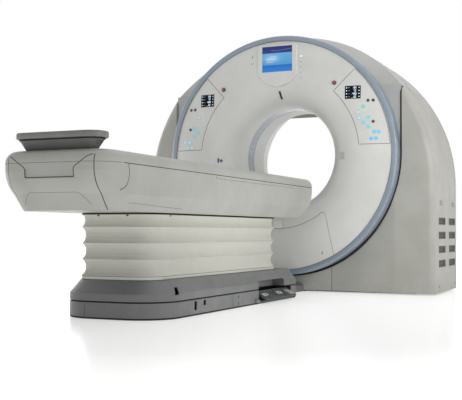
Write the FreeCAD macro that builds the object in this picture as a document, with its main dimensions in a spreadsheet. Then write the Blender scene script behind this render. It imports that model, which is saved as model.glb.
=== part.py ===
"""A CT scanner: a gantry with a round bore, and a patient couch that lifts and slides into it.

Millimetres, +Z up, +Y from the couch's foot end into the gantry, +X to the right of somebody who
looks into the bore. The origin is on the floor, under the middle of the machine.
"""
import FreeCAD, Part

import math
import os

import Sketcher

SIZES = {
    # whole machine
    "couch_reach": 2990,           # foot end of the couch to the front of the trim ring
    "gantry_depth": 970,           # front of the trim ring to the rear cover
    "floor_gap": 10,               # light gap under every cover
    "cover_wall": 5,
    "seam_gap": 0.6,               # joint line between neighbouring covers
    "run_gap": 0.3,                # clearance of pieces that pass or seat without touching
    "overcut": 20,                 # how far a cutting shape runs past what it cuts
    # outline of the gantry: a half round over straight sides
    "iso_height": 1040,            # height of the bore's axis
    "bore_radius": 390,
    "half_width": 1160,            # also the radius of the dome
    "dome_height": 830,            # centre of the dome
    "top_seam_height": 1540,       # stand covers end here, top shells begin
    "cover_front": 100,            # depths are counted from the front of the trim ring
    "cover_rear": 910,
    "cover_edge_radius": 40,
    "facet_crease_x": 870,         # the front of a stand cover is creased here
    "centre_seam_x": 390,
    "centre_front": 170,           # depth of the front between the centre seams
    "ring_gap": 12,                # dark gap between the ring and the stand covers
    "slit_width": 9,
    # flared shell over the ring
    "flare_ring_radius": 905,
    "flare_lean": 20,              # degrees that its outer edge leans back
    "flare_heel": 50,              # how far below the seam the leaning plane starts
    "flare_rim_width": 20,
    "crescent_height": 1050,
    "crescent_flange": 45,
    "top_split": 450,              # depth of the joint between the two top shells
    # trim ring and domed front disc
    "ring_inner": 875,
    "ring_outer": 915,
    "ring_depth": 110,
    "ring_nose_radius": 14,
    "ring_inner_nose_radius": 5,
    "disc_flange_depth": 250,
    "disc_edge_depth": 8,
    "crown_radius": 635,           # circle on which the disc stands furthest forward
    "crown_depth": -24,
    "entry_radius": 560,
    "entry_half_angle": 38,
    # bore
    "scan_window_front": 327,
    "scan_window_rear": 454,
    "liner_wall": 4,
    "window_inset": 1,
    "window_wall": 2,
    "funnel_start": 660,
    "funnel_radius": 480,
    "rear_brow": 400,              # flat top edge of the rear opening, above the axis
    "rear_edge_radius": 30,
    "rear_slot_length": 180,
    "rear_slot_height": 12,
    "rear_slot_pitch": 30,
    "rear_slot_count": 7,
    "rear_slot_x": 620,
    "rear_slot_low": 260,
    # control panels and what is on them
    "panel_inner": 640,
    "panel_outer": 866,
    "panel_low": 58,               # lower edge, above the axis
    "panel_top_angle": 46,
    "readout_x": 591,
    "readout_z": 444,
    "readout_width": 117,
    "readout_height": 97,
    "readout_proud": 1.5,
    "button_radius": 7.5,
    "button_proud": 4,
    "button_length": 14,
    "button_clearance": 0.4,
    "button_top_x": 741,
    "button_mid_x": 704,
    "button_top_z": 379,
    "button_low_x": 743,
    "button_low_z": 222,
    "stop_x": 450,
    "stop_z": 522,
    "stop_stem_radius": 8.5,
    "stop_head_radius": 11.5,
    "stop_head_thickness": 9,
    "stop_travel": 4,
    "stop_collar_radius": 16,
    "stop_collar_wall": 3.5,
    "stop_collar_proud": 6,
    "stop_depth": 26,
    # screen pod
    "pod_front": -34,
    "pod_half_width": 160,
    "pod_top": 841,
    "pod_shoulder": 620,
    "pod_bottom": 521,
    "pod_corner_radius": 20,
    "pod_bevel": 5,
    "screen_half_width": 122,
    "screen_low": 633,
    "screen_high": 829,
    "screen_pocket": 6,
    "screen_thickness": 4,
    # laser windows
    "laser_slot_width": 16,
    "laser_slot_inner": 425,
    "laser_slot_outer": 500,
    "laser_side_x": 497,
    "laser_side_drop": 18,
    "laser_side_width": 50,
    "laser_side_height": 66,
    "laser_proud": 1.5,
    # vents in the stand covers
    "vent_length": 252,
    "vent_height": 54,
    "vent_corner": 6,
    "vent_front": 388,
    "vent_rear": 770,
    "vent_low": 222,
    "vent_pitch": 105,
    "vent_rows": 4,
    "vent_clearance": 0.5,
    "grille_thickness": 3,
    "grille_border": 6,
    "grille_slots": 4,
    "grille_bar": 4,
    "latch_length": 105,
    "latch_height": 42,
    "latch_level": 674,
    "latch_front": 346,
    "latch_rear": 812,
    "latch_recess": 2.5,
    # gantry frame
    "frame_base_half": 1000,
    "frame_base_front": 220,
    "frame_base_rear": 880,
    "frame_base_thickness": 30,
    "frame_plate_front": 720,
    "frame_plate_thickness": 40,
    "frame_plate_radius": 880,
    "frame_plate_bore": 560,
    "frame_post_width": 170,
    "frame_post_depth": 100,
    "frame_post_height": 1200,
    "arm_inner": 862,              # arms that carry the disc's rim, distance from the axis
    "arm_thickness": 18,
    "arm_half_width": 40,
    "outrigger_depth": 80,
    "outrigger_height": 40,
    "outrigger_low": 140,
    "outrigger_high": 760,
    "front_foot_half": 150,
    "front_foot_height": 70,
    "anchor_x": 900,
    "anchor_front": 300,
    "anchor_rear": 800,
    "anchor_radius": 9,
    # rotor and what turns with it
    "rotor_rim_radius": 850,
    "rotor_rim_wall": 15,
    "rotor_rim_front": 300,
    "rotor_plate_front": 600,
    "rotor_plate_rear": 655,
    "rotor_hub_radius": 400,
    "rotor_hub_wall": 12,
    "rotor_hub_front": 560,
    "rotor_window_radius": 95,
    "rotor_window_pitch": 640,
    "balance_radius": 55,          # two round weights that set the turning mass in balance
    "balance_pitch": 775,
    "balance_angle": 25.2,         # degrees from straight down
    "balance_spread": 10,
    "balance_length": 240,
    "race_split": 600,
    "race_inner": 540,
    "race_outer": 660,
    "race_inner_rear": 685,
    "race_outer_front": 662,
    "stator_inner": 700,
    "stator_outer": 860,
    "stator_thickness": 22,
    "stator_pole_depth": 26,
    "stator_pole_length": 120,
    "stator_pole_width": 70,
    "stator_poles": 24,
    "slip_inner": 430,
    "slip_outer": 532,
    "slip_thickness": 30,
    "slip_groove": 10,
    "slip_groove_depth": 5,
    "slip_grooves": 4,
    "brush_half_width": 70,
    "brush_inner": 440,
    "tube_radius": 115,
    "tube_centre": 625,
    "tube_front": 330,
    "tube_cap_radius": 80,
    "tube_cap_length": 45,
    "tube_fin_depth": 8,
    "tube_fin_width": 8,
    "tube_fins": 6,
    "collimator_half_width": 110,
    "collimator_low": 450,
    "collimator_front": 380,
    "collimator_rear": 520,
    "collimator_slot": 24,
    "collimator_slot_half_length": 85,
    "detector_radius": 1043,
    "detector_thickness": 68,
    "detector_half_angle": 26,
    "detector_front": 340,
    "supply_half_height": 140,
    "supply_near": 470,
    "supply_far": 790,
    "supply_front": 320,
    "supply_edge_radius": 18,
    "cooler_fins": 9,
    "cooler_fin_gap": 14,
    "cooler_fin_depth": 60,
    # couch: lengths are counted from its foot end
    "couch_length": 2895,
    "couch_half_width": 320,
    "couch_bottom": 553,
    "couch_crease": 632,
    "couch_seam": 778,
    "couch_top": 840,
    "couch_waist": 740,            # both ends are upright above this height
    "couch_belly": 690,            # height of the middle section of the rounded ends
    "couch_taper": 52,
    "couch_foot_radius": 140,
    "couch_head_radius": 70,
    "couch_top_edge_radius": 55,
    "belly_lean": 10,              # how far both ends are drawn in at the belly
    "crease_lean": 42,             # how far both ends are drawn in at the crease
    "crease_round": 50,            # added to the corner radii from the crease down
    "keel_foot_lean": 33,          # how much more than the taper the foot end is drawn in below
    "keel_head_lean": 118,
    "cap_half_width": 240,
    "cap_depth": 150,
    "slot_backing": 10,            # thickness of the cap's wall behind its slot panel
    "grip_front": 1175,
    "grip_rear": 2450,
    "link_box_half_width": 200,    # housing of the link cables, under the head end
    "link_box_start": 2385,
    "link_box_end": 2550,
    "link_box_low": 480,
    "grip_top_drop": 9,
    "grip_height": 15,
    "grip_recess": 3,
    "slot_panel_half_width": 135,
    "slot_panel_low": 708,
    "slot_panel_height": 41,
    "slot_panel_recess": 7,
    "channel_half_width": 240,
    "channel_foot": 150,
    "channel_floor": 785,
    # couchtop and tray
    "top_half_width": 235,
    "top_low": 797,
    "top_high": 838,
    "top_chine": 20,
    "top_lip": 13,
    "top_sag": 22,
    "top_nose_radius": 180,
    "top_clearance": 5,
    "rail_x": 150,
    "rail_half_width": 18,
    "rail_slot": 8,
    "tray_start": 45,
    "tray_length": 125,
    "tray_floor_half_width": 195,
    "tray_rim_half_width": 230,
    "tray_rim_low": 892,
    "tray_rim_high": 926,
    "tray_rim_overhang": 10,
    "tray_wall": 5,
    "tray_corner_radius": 60,
    "tray_base_radius": 20,
    "tray_end_lean": 36,
    "tongue_half_width": 190,
    "tongue_end": 260,
    "hand_hole_length": 64,
    "hand_hole_low": 858,
    "hand_hole_height": 24,
    # couch frame and lifting columns
    "ladder_half_width": 205,
    "ladder_beam": 55,
    "ladder_start": 320,
    "ladder_end": 2700,
    "ladder_high": 700,
    "cross_beam": 200,
    "column_foot": 1000,
    "column_pitch": 1000,
    "column_half": 90,
    "column_wall": 8,
    "column_clearance": 0.4,
    "column_length": 250,
    "column_overlap": 104,
    "well_half_width": 165,
    "well_start": 800,
    "well_end": 2200,
    # bellows
    "bellows_start": 570,
    "bellows_end": 2380,
    "bellows_half_width": 240,
    "bellows_corner": 125,
    "bellows_wall": 3,
    "bellows_valley": 22,
    "bellows_low": 200.5,
    "bellows_high": 552.5,
    "bellows_top_ridge": 478,
    "bellows_pitch": 85,
    "bellows_flange": 9,
    # couch base
    "base_start": 510,
    "base_end": 2550,
    "base_half_width": 320,
    "base_foot_radius": 220,
    "base_head_radius": 70,
    "base_plate_thickness": 16,
    "skirt_top": 86,
    "base_seam": 8,
    "base_shoulder": 132,
    "base_top": 200,
    "base_taper": 58,
    "base_lip_inset": 12,
    "base_slot_y": 697,            # the slot's lower end; its upper end leans towards the head
    "base_slot_slant": 34,
    "base_slot_low": 125,
    "base_slot_height": 37,
    "base_slot_length": 38,
    "first_slot_y": 916,
    "first_slot_low": 31,
    "second_slot_y": 1031,
    "second_slot_low": 50,
    "skirt_slot_length": 30,
    "skirt_slot_high": 78,
    "bay_start": 1815,
    "bay_end": 2395,
    "bay_top": 144,
    "bay_depth": 85,
    "bay_step": 450,
    "pedal_length": 268,
    "pedal_gap": 8,
    "pedal_pivot_x": 286,
    "pedal_pivot_z": 70,
    "pedal_reach": 80,
    "pedal_drop": 45,
    "pedal_thickness": 10,
    "pedal_pin_radius": 4,
    "pedal_bore_clearance": 0.05,
    "bracket_play": 1,
    "pad_length": 90,
    "pad_width": 34,
    "pad_height": 3,
    "duct_half_width": 140,
    "duct_height": 58,
    "duct_chamfer": 12,
}

RING_Y = "(sizes.couch_reach - sizes.gantry_depth) / 2"
FOOT_Y = "(0 - (sizes.couch_reach + sizes.gantry_depth) / 2)"
PLANES = {"front": "XZ_Plane", "top": "XY_Plane", "side": "YZ_Plane"}

doc = FreeCAD.newDocument("ct_scanner")
sheet = doc.addObject("Spreadsheet::Sheet", "sizes")
for row, (alias, number) in enumerate(SIZES.items(), start=1):
    sheet.set(f"A{row}", alias)
    sheet.set(f"B{row}", str(number))
    sheet.setAlias(f"B{row}", alias)
doc.recompute()

nodes = []


# ---------------------------------------------------------------- helpers

def size(expression):
    """Value of an expression in the sheet's names, in millimetres or degrees."""
    return float(sheet.evalExpression(str(expression)))


def place(item, x="0", y="0", z="0"):
    """Tie an object's position to the sheet."""
    for axis, expression in zip("xyz", (x, y, z)):
        item.setExpression(f".Placement.Base.{axis}", str(expression))
    return item


def node(item, label):
    """Give a finished sub-part the name under which it is written."""
    item.Label = label
    nodes.append(item)
    return item


def body(name, x="0", y="0", z="0"):
    """An empty body at a place given by the sheet."""
    item = doc.addObject("PartDesign::Body", name)
    item.AllowCompound = True
    return place(item, x, y, z)


def gantry_body(name):
    """A body whose Y is the depth behind the ring's front, and whose Z is the height."""
    return body(name, "0", RING_Y)


def bore_body(name, x="0"):
    """A body on the bore's axis, with Y as the depth behind the ring's front."""
    return body(name, x, RING_Y, "sizes.iso_height")


def couch_body(name, x="0"):
    """A body whose Y is the distance from the couch's foot end."""
    return body(name, x, FOOT_Y)


def origin_feature(owner, role):
    """One of a body's own origin planes or axes."""
    return [item for item in owner.Origin.OriginFeatures if item.Role == role][0]


def arc_centre(start, end, radius, side):
    """Centre of the arc from start to end, which lies on the named side of the way."""
    half = (end - start).Length / 2
    reach = math.sqrt(max(radius * radius - half * half, 0.0))
    along = (end - start).normalize()
    across = FreeCAD.Vector(-along.y, along.x, 0)
    return (start + end) / 2 + across * (reach if side == "left" else -reach)


def outline(owner, plane, start, points):
    """A closed sketch on one of the body's planes, with every vertex tied to the sheet.

    A point is (across, up). With a radius and a side added, an arc leads to the next point, and
    its centre lies on that side; a half circle must end at the height where it starts.
    ("circle", across, up, radius) stands for a whole circle.
    """
    sketch = owner.newObject("Sketcher::SketchObject", owner.Name + "_outline")
    sketch.AttachmentSupport = [(origin_feature(owner, PLANES[plane]), "")]
    sketch.MapMode = "FlatFace"
    sign = "0 - " if plane == "front" else ""
    sketch.setExpression(".AttachmentOffset.Base.z", f"{sign}({start})")
    rules = []

    def pin(kind, item, corner, expression, number):
        if number >= 0:
            rule = Sketcher.Constraint(kind, -1, 1, item, corner, number)
        else:
            rule = Sketcher.Constraint(kind, item, corner, -1, 1, -number)
            expression = f"0 - ({expression})"
        rules.append((rule, expression))

    if points[0] == "circle":
        across, up, radius = points[1:]
        middle = FreeCAD.Vector(size(across), size(up), 0)
        sketch.addGeometry(Part.Circle(middle, FreeCAD.Vector(0, 0, 1), size(radius)), False)
        pin("DistanceX", 0, 3, across, middle.x)
        pin("DistanceY", 0, 3, up, middle.y)
        rules.append((Sketcher.Constraint("Radius", 0, size(radius)), radius))
    else:
        count = len(points)
        spots = [FreeCAD.Vector(size(point[0]), size(point[1]), 0) for point in points]
        ends = []
        for index, point in enumerate(points):
            here, there = spots[index], spots[(index + 1) % count]
            if len(point) == 2:
                sketch.addGeometry(Part.LineSegment(here, there), False)
                ends.append((1, 2))
                continue
            radius, side = size(point[2]), point[3]
            middle = arc_centre(here, there, radius, side)
            first, last = (here, there) if side == "left" else (there, here)
            angles = [math.atan2(spot.y - middle.y, spot.x - middle.x) for spot in (first, last)]
            round_edge = Part.Circle(middle, FreeCAD.Vector(0, 0, 1), radius)
            sketch.addGeometry(Part.ArcOfCircle(round_edge, *angles), False)
            ends.append((1, 2) if side == "left" else (2, 1))
        for index, point in enumerate(points):
            after = (index + 1) % count
            joined = Sketcher.Constraint("Coincident", index, ends[index][1], after, ends[after][0])
            rules.append((joined, None))
            pin("DistanceX", index, ends[index][0], point[0], spots[index].x)
            pin("DistanceY", index, ends[index][0], point[1], spots[index].y)
            if len(point) == 2:
                continue
            if (spots[after] - spots[index]).Length > 1.999 * size(point[2]):
                pin("DistanceY", index, 3, point[1], spots[index].y)
            else:
                rules.append((Sketcher.Constraint("Radius", index, size(point[2])), point[2]))
    sketch.addConstraint([rule for rule, _ in rules])
    for index, (_, expression) in enumerate(rules):
        if expression is not None:
            sketch.setExpression(f"Constraints[{index}]", str(expression))
    return sketch


def pad(owner, plane, start, length, points):
    """Add an outline's prism that starts at a distance and runs to the rear, up or right."""
    feature = owner.newObject("PartDesign::Pad", owner.Name + "_pad")
    feature.Profile = outline(owner, plane, start, points)
    feature.setExpression("Length", str(length))
    feature.Reversed = plane == "front"
    return feature


def pocket(owner, plane, start, length, points):
    """Cut away an outline's prism that starts at a distance and runs to the rear, up or right."""
    feature = owner.newObject("PartDesign::Pocket", owner.Name + "_pocket")
    feature.Profile = outline(owner, plane, start, points)
    feature.setExpression("Length", str(length))
    feature.Reversed = plane != "front"
    return feature


def revolve(owner, points):
    """Turn an outline of (radius, depth) points once round the body's own Y axis."""
    feature = owner.newObject("PartDesign::Revolution", owner.Name + "_turn")
    profile = outline(owner, "top", "0", points)
    feature.Profile = profile
    feature.ReferenceAxis = (profile, ["V_Axis"])
    feature.Angle = 360
    return feature


def loft(owner, plane, sections, straight=True):
    """Add a loft, straight or smooth, through (distance, outline) sections on parallel planes."""
    sketches = [outline(owner, plane, start, points) for start, points in sections]
    feature = owner.newObject("PartDesign::AdditiveLoft", owner.Name + "_loft")
    feature.Profile = sketches[0]
    feature.Sections = sketches[1:]
    feature.Ruled = straight
    return feature


def repeat(owner, feature, axis, pitch, count):
    """Repeat a feature in a row along one of the body's axes."""
    row = owner.newObject("PartDesign::LinearPattern", owner.Name + "_row")
    row.Originals = [feature]
    row.Direction = (origin_feature(owner, axis), [""])
    row.setExpression("Length", f"({pitch}) * (({count}) - 1)")
    row.setExpression("Occurrences", str(count))
    owner.Tip = row
    return row


def ring_of(owner, feature, count):
    """Repeat a feature evenly round the body's Y axis."""
    turn = owner.newObject("PartDesign::PolarPattern", owner.Name + "_ring")
    turn.Originals = [feature]
    turn.Axis = (origin_feature(owner, "Y_Axis"), [""])
    turn.Angle = 360
    turn.setExpression("Occurrences", str(count))
    owner.Tip = turn
    return turn


def fillet(owner, radius, wanted):
    """Round the tip's edges whose middle satisfies wanted(x, y, z), in the body's own frame."""
    doc.recompute()
    base = owner.Tip
    names = []
    for index, edge in enumerate(base.Shape.Edges, start=1):
        middle = edge.valueAt((edge.FirstParameter + edge.LastParameter) / 2)
        if wanted(middle.x, middle.y, middle.z):
            names.append(f"Edge{index}")
    feature = owner.newObject("PartDesign::Fillet", owner.Name + "_fillet")
    feature.Base = (base, names)
    feature.setExpression("Radius", str(radius))
    return feature


def near(number, expression, slack=0.5):
    """True if a coordinate is where the expression says."""
    return abs(number - size(expression)) < slack


def cut(name, base, *tools):
    """The base without the tools."""
    result = doc.addObject("Part::Cut", name)
    result.Base = base
    result.Tool = tools[0] if len(tools) == 1 else fuse(name + "_tools", *tools)
    return result


def fuse(name, *items):
    """Several shapes joined into one."""
    result = doc.addObject("Part::MultiFuse", name)
    result.Shapes = list(items)
    result.Refine = True
    return result


def common(name, *items):
    """What the shapes share."""
    result = doc.addObject("Part::MultiCommon", name)
    result.Shapes = list(items)
    return result


def group(name, *items):
    """Separate solids of one kind, kept as one sub-part."""
    result = doc.addObject("Part::Compound", name)
    result.Links = list(items)
    return result


def mirror(name, source):
    """The same shape on the other side of the machine's middle plane."""
    result = doc.addObject("Part::Mirroring", name)
    result.Source = source
    result.Normal = FreeCAD.Vector(1, 0, 0)
    return result


def cylinder(name, x, y, z, radius, length):
    """A round bar that starts at a point and runs to the rear."""
    bar = doc.addObject("Part::Cylinder", name)
    bar.setExpression("Radius", str(radius))
    bar.setExpression("Height", str(length))
    bar.Placement.Rotation = FreeCAD.Rotation(FreeCAD.Vector(1, 0, 0), -90)
    return place(bar, x, y, z)


def box(name, x, y, z, width, depth, height):
    """A block from its lowest corner."""
    block = doc.addObject("Part::Box", name)
    block.setExpression("Length", str(width))
    block.setExpression("Width", str(depth))
    block.setExpression("Height", str(height))
    return place(block, x, y, z)


def rounded(x_low, x_high, y_low, y_high, low_radius, high_radius=None):
    """Outline of a rectangle with round corners, the second radius for those at its high end."""
    high_radius = high_radius or low_radius
    low, high = f"({low_radius})", f"({high_radius})"
    return [
        (f"({x_low}) + {low}", y_low),
        (f"({x_high}) - {low}", y_low, low, "left"),
        (x_high, f"({y_low}) + {low}"),
        (x_high, f"({y_high}) - {high}", high, "left"),
        (f"({x_high}) - {high}", y_high),
        (f"({x_low}) + {high}", y_high, high, "left"),
        (x_low, f"({y_high}) - {high}"),
        (x_low, f"({y_low}) + {low}", low, "left"),
    ]


def rectangle(x_low, x_high, y_low, y_high):
    """Outline of a plain rectangle."""
    return [(x_low, y_low), (x_high, y_low), (x_high, y_high), (x_low, y_high)]


# ---------------------------------------------------------------- gantry covers

def dome_x(radius, height):
    """Half the width of a dome of that radius at a height above the floor."""
    return f"sqrt(({radius})^2 - (({height}) - sizes.dome_height)^2)"


def stand_block(name, inset, grow):
    """The right stand cover's outer form, or with an inset the space inside it."""
    block = gantry_body(name)
    radius = f"sizes.half_width - {inset}"
    top = f"sizes.top_seam_height - sizes.seam_gap + {grow}"
    low = f"sizes.floor_gap - {grow}"
    seam = f"sizes.centre_seam_x + sizes.seam_gap / 2 - {grow}"
    front = f"sizes.cover_front + {inset}"
    pad(block, "front", front, f"sizes.cover_rear - sizes.cover_front + {grow} - {inset}", [
        (seam, low),
        (radius, low),
        (radius, "sizes.dome_height", radius, "left"),
        (dome_x(radius, top), top),
        (seam, top),
    ])
    slope = "(sizes.centre_front - sizes.cover_front) / (sizes.facet_crease_x - sizes.centre_seam_x)"
    deep = f"{front} + (sizes.facet_crease_x - ({seam})) * {slope}"
    past = f"{front} - sizes.overcut"
    side = f"{seam} - sizes.overcut"
    pocket(block, "top", f"{low} - sizes.overcut", f"{top} - ({low}) + 2 * sizes.overcut", [
        (side, past),
        ("sizes.facet_crease_x", past),
        ("sizes.facet_crease_x", front),
        (seam, deep),
        (side, deep),
    ])
    fillet(block, f"sizes.cover_edge_radius - {inset}",
           lambda x, y, z: near(y, front) and x > size("sizes.facet_crease_x + 1") and z > size(low) + 1
           and z < size(top) - 1)
    return block


def ring_opening():
    """What the disc and its ring take out of the stand covers: a round below, a slot above."""
    opening = gantry_body("ring_opening")
    reach = "sizes.ring_outer + sizes.ring_gap"
    pad(opening, "front", "0", "sizes.centre_front + sizes.cover_wall + sizes.overcut / 2", [
        (f"0 - ({reach})", "sizes.iso_height", reach, "left"),
        (reach, "sizes.iso_height"),
        (reach, "sizes.top_seam_height + 2 * sizes.overcut"),
        (f"0 - ({reach})", "sizes.top_seam_height + 2 * sizes.overcut"),
    ])
    return opening


def vent_places():
    """(depth, height) of each vent's middle on the side of a stand cover."""
    for depth in ("sizes.vent_front", "sizes.vent_rear"):
        for level in range(SIZES["vent_rows"]):
            yield depth, f"sizes.vent_low + {level} * sizes.vent_pitch"


def vent_outline(depth, height, clearance):
    """Outline of a vent with rounded corners, widened by a clearance."""
    half_length = f"(sizes.vent_length / 2 + {clearance})"
    half_height = f"(sizes.vent_height / 2 + {clearance})"
    return rounded(f"{depth} - {half_length}", f"{depth} + {half_length}",
                   f"{height} - {half_height}", f"{height} + {half_height}",
                   f"sizes.vent_corner + {clearance}")


def stand_covers():
    """Moulded covers on both sides of the gantry, open to the disc, with holes for the vents."""
    outer = stand_block("stand_outer", "0", "0")
    inner = stand_block("stand_inner", "sizes.cover_wall", "sizes.overcut")
    side = "sizes.half_width - sizes.cover_wall - sizes.overcut"
    vents = gantry_body("vent_holes")
    for depth, height in vent_places():
        pad(vents, "side", side, "sizes.cover_wall + 2 * sizes.overcut",
            vent_outline(depth, height, "sizes.vent_clearance"))
    latches = gantry_body("latch_recesses")
    for depth in ("sizes.latch_front", "sizes.latch_rear"):
        pad(latches, "side", "sizes.half_width - sizes.latch_recess", "sizes.overcut",
            rectangle(f"{depth} - sizes.latch_length / 2", f"{depth} + sizes.latch_length / 2",
                      "sizes.latch_level - sizes.latch_height / 2",
                      "sizes.latch_level + sizes.latch_height / 2"))
    right = node(cut("right_cover", outer, inner, ring_opening(), vents, latches),
                 "right_stand_cover")
    node(mirror("left_cover", right), "left_stand_cover")


def vent_grilles():
    """Slotted inserts that fill the vents, eight on a side."""
    inserts = []
    outer = "sizes.half_width - sizes.grille_thickness - 1"
    for depth, height in vent_places():
        insert = gantry_body("grille")
        pad(insert, "side", outer, "sizes.grille_thickness", vent_outline(depth, height, "0"))
        free = "(sizes.vent_height - 2 * sizes.grille_border)"
        pitch = f"(({free} + sizes.grille_bar) / sizes.grille_slots)"
        low = f"{height} - {free} / 2"
        half = "(sizes.vent_length / 2 - sizes.grille_border)"
        slot = pocket(insert, "side", f"{outer} - 1", "sizes.grille_thickness + 2",
                      rectangle(f"{depth} - {half}", f"{depth} + {half}",
                                low, f"{low} + {pitch} - sizes.grille_bar"))
        repeat(insert, slot, "Z_Axis", pitch, "sizes.grille_slots")
        inserts.append(insert)
    right = node(group("grilles", *inserts), "right_vent_grilles")
    node(mirror("left_grilles", right), "left_vent_grilles")


def lower_front_cover():
    """The plate between the stand covers, under the disc, with flanges along its sides."""
    plate = gantry_body("lower_front")
    half = "(sizes.centre_seam_x - sizes.seam_gap / 2)"
    height = "sizes.iso_height - sizes.ring_outer + 6 * sizes.overcut"
    pad(plate, "front", "sizes.centre_front", "sizes.cover_wall",
        rectangle(f"0 - {half}", half, "sizes.floor_gap", height))
    for edge in (f"0 - {half}", f"{half} - sizes.cover_wall"):
        pad(plate, "front", "sizes.centre_front", "2 * sizes.overcut",
            rectangle(edge, f"{edge} + sizes.cover_wall", "sizes.floor_gap", height))
    pocket(plate, "front", "0", "sizes.cover_rear",
           ("circle", "0", "sizes.iso_height", "sizes.ring_outer + sizes.ring_gap"))
    node(plate, "lower_front_cover")


def half_round(radius, centre, low, front, rear):
    """A prism along Y under a circle's arc and above a level: the top of a disc or of the dome."""
    reach = math.sqrt(radius ** 2 - (low - centre) ** 2)
    ends = [FreeCAD.Vector(side * reach, front, low) for side in (1, -1)]
    arc = Part.Arc(ends[0], FreeCAD.Vector(0, front, centre + radius), ends[1]).toShape()
    face = Part.Face(Part.Wire([arc, Part.makeLine(ends[1], ends[0])]))
    return face.extrude(FreeCAD.Vector(0, rear - front, 0))


def flared_form(inset, grow):
    """The flare between the ring's circle and the dome, with the dome part behind it.

    The flare's outer edge is where a plane that leans back cuts the dome, so it is part of an
    ellipse, and the surface between it and the ring's circle is ruled.
    """
    seam = size("sizes.top_seam_height + sizes.seam_gap / 2") - grow
    ring = size(f"sizes.flare_ring_radius - {inset}")
    dome = size(f"sizes.half_width - {inset}")
    front = size(f"sizes.ring_depth + {inset}")
    lean = math.tan(math.radians(size("sizes.flare_lean")))
    heel = size("sizes.top_seam_height - sizes.flare_heel")
    rear = size("sizes.top_split - sizes.seam_gap / 2") + grow
    far = dome + size("sizes.overcut")
    low, high = seam - far, heel + far
    tool = Part.makePolygon([FreeCAD.Vector(-far, depth, level) for depth, level in (
        (-far, low), (front + (low - heel) * lean, low), (front + (high - heel) * lean, high),
        (-far, high), (-far, low))])
    wedge = Part.Face(tool).extrude(FreeCAD.Vector(2 * far, 0, 0))
    behind = half_round(dome, size("sizes.dome_height"), seam, front, rear).cut(wedge)
    leaning = min(behind.Faces, key=lambda face: face.CenterOfMass.y)
    disc = half_round(ring, size("sizes.iso_height"), seam, front, front + 1)
    round_end = min(disc.Faces, key=lambda face: face.CenterOfMass.y)
    flare = Part.makeLoft([round_end.OuterWire, leaning.OuterWire], True, True)
    return flare.fuse(behind).removeSplitter()


def coded(name, shape):
    """A shape made in code from the sheet's sizes, placed in the gantry's own frame."""
    item = doc.addObject("Part::Feature", name)
    item.Shape = shape
    return place(item, "0", RING_Y)


def top_shells():
    """The flared shell round the upper half of the ring, and the plain dome shell behind it."""
    outer = coded("flare_outer", flared_form("0", 0))
    inner = coded("flare_inner", flared_form("sizes.cover_wall", size("sizes.overcut")))
    mouth = bore_body("flare_mouth")
    rim = "sizes.flare_ring_radius - sizes.flare_rim_width"
    pad(mouth, "front", "sizes.ring_depth - sizes.overcut", "sizes.cover_wall + 2 * sizes.overcut",
        ("circle", "0", "0", rim))
    crescents = gantry_body("crescents")
    edge = "(sizes.ring_outer + sizes.ring_gap - sizes.slit_width)"
    seam = "sizes.top_seam_height + sizes.cover_wall"
    for side in ("", "0 - "):
        turn = "right" if side else "left"
        far = f"{side}{edge}"
        near_x = f"{side}sqrt(({rim})^2 - (sizes.crescent_height - sizes.iso_height)^2)"
        high = f"{side}sqrt(({rim})^2 - ({seam} - sizes.iso_height)^2)"
        pad(crescents, "front", "sizes.ring_depth", "sizes.cover_wall", [
            (near_x, "sizes.crescent_height", rim, turn), (high, seam), (far, seam),
            (far, "sizes.crescent_height")])
        inward = f"{side}({edge} - sizes.cover_wall)"
        pad(crescents, "front", "sizes.ring_depth", "sizes.crescent_flange",
            rectangle(inward, far, "sizes.crescent_height", seam))
    shell = cut("flare_shell", outer, inner, mouth)
    node(fuse("top_front", shell, crescents), "top_front_shell")

    rear = gantry_body("top_rear")
    low = "sizes.top_seam_height + sizes.seam_gap / 2"
    inside = "(sizes.half_width - sizes.cover_wall)"
    front = "sizes.top_split + sizes.seam_gap / 2"
    pad(rear, "front", front, f"sizes.cover_rear - ({front})", [
        (dome_x("sizes.half_width", low), low, "sizes.half_width", "left"),
        (f"0 - {dome_x('sizes.half_width', low)}", low),
        (f"0 - {dome_x(inside, low)}", low, inside, "right"),
        (dome_x(inside, low), low),
    ])
    node(rear, "top_rear_shell")


def rear_lid(name, inset, grow):
    """The rear cover's outer form, or with an inset the space inside it."""
    lid = gantry_body(name)
    radius = f"(sizes.half_width - {inset})"
    front = f"sizes.cover_rear + sizes.seam_gap - {grow}"
    rear = f"sizes.gantry_depth - {inset}"
    pad(lid, "front", front, f"{rear} - ({front})", [
        (f"0 - {radius}", f"sizes.floor_gap + {inset}"),
        (radius, f"sizes.floor_gap + {inset}"),
        (radius, "sizes.dome_height", radius, "left"),
        (f"0 - {radius}", "sizes.dome_height"),
    ])
    fillet(lid, f"sizes.rear_edge_radius - {inset}",
           lambda x, y, z: near(y, rear) and z > size("2 * sizes.floor_gap"))
    return lid


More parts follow.
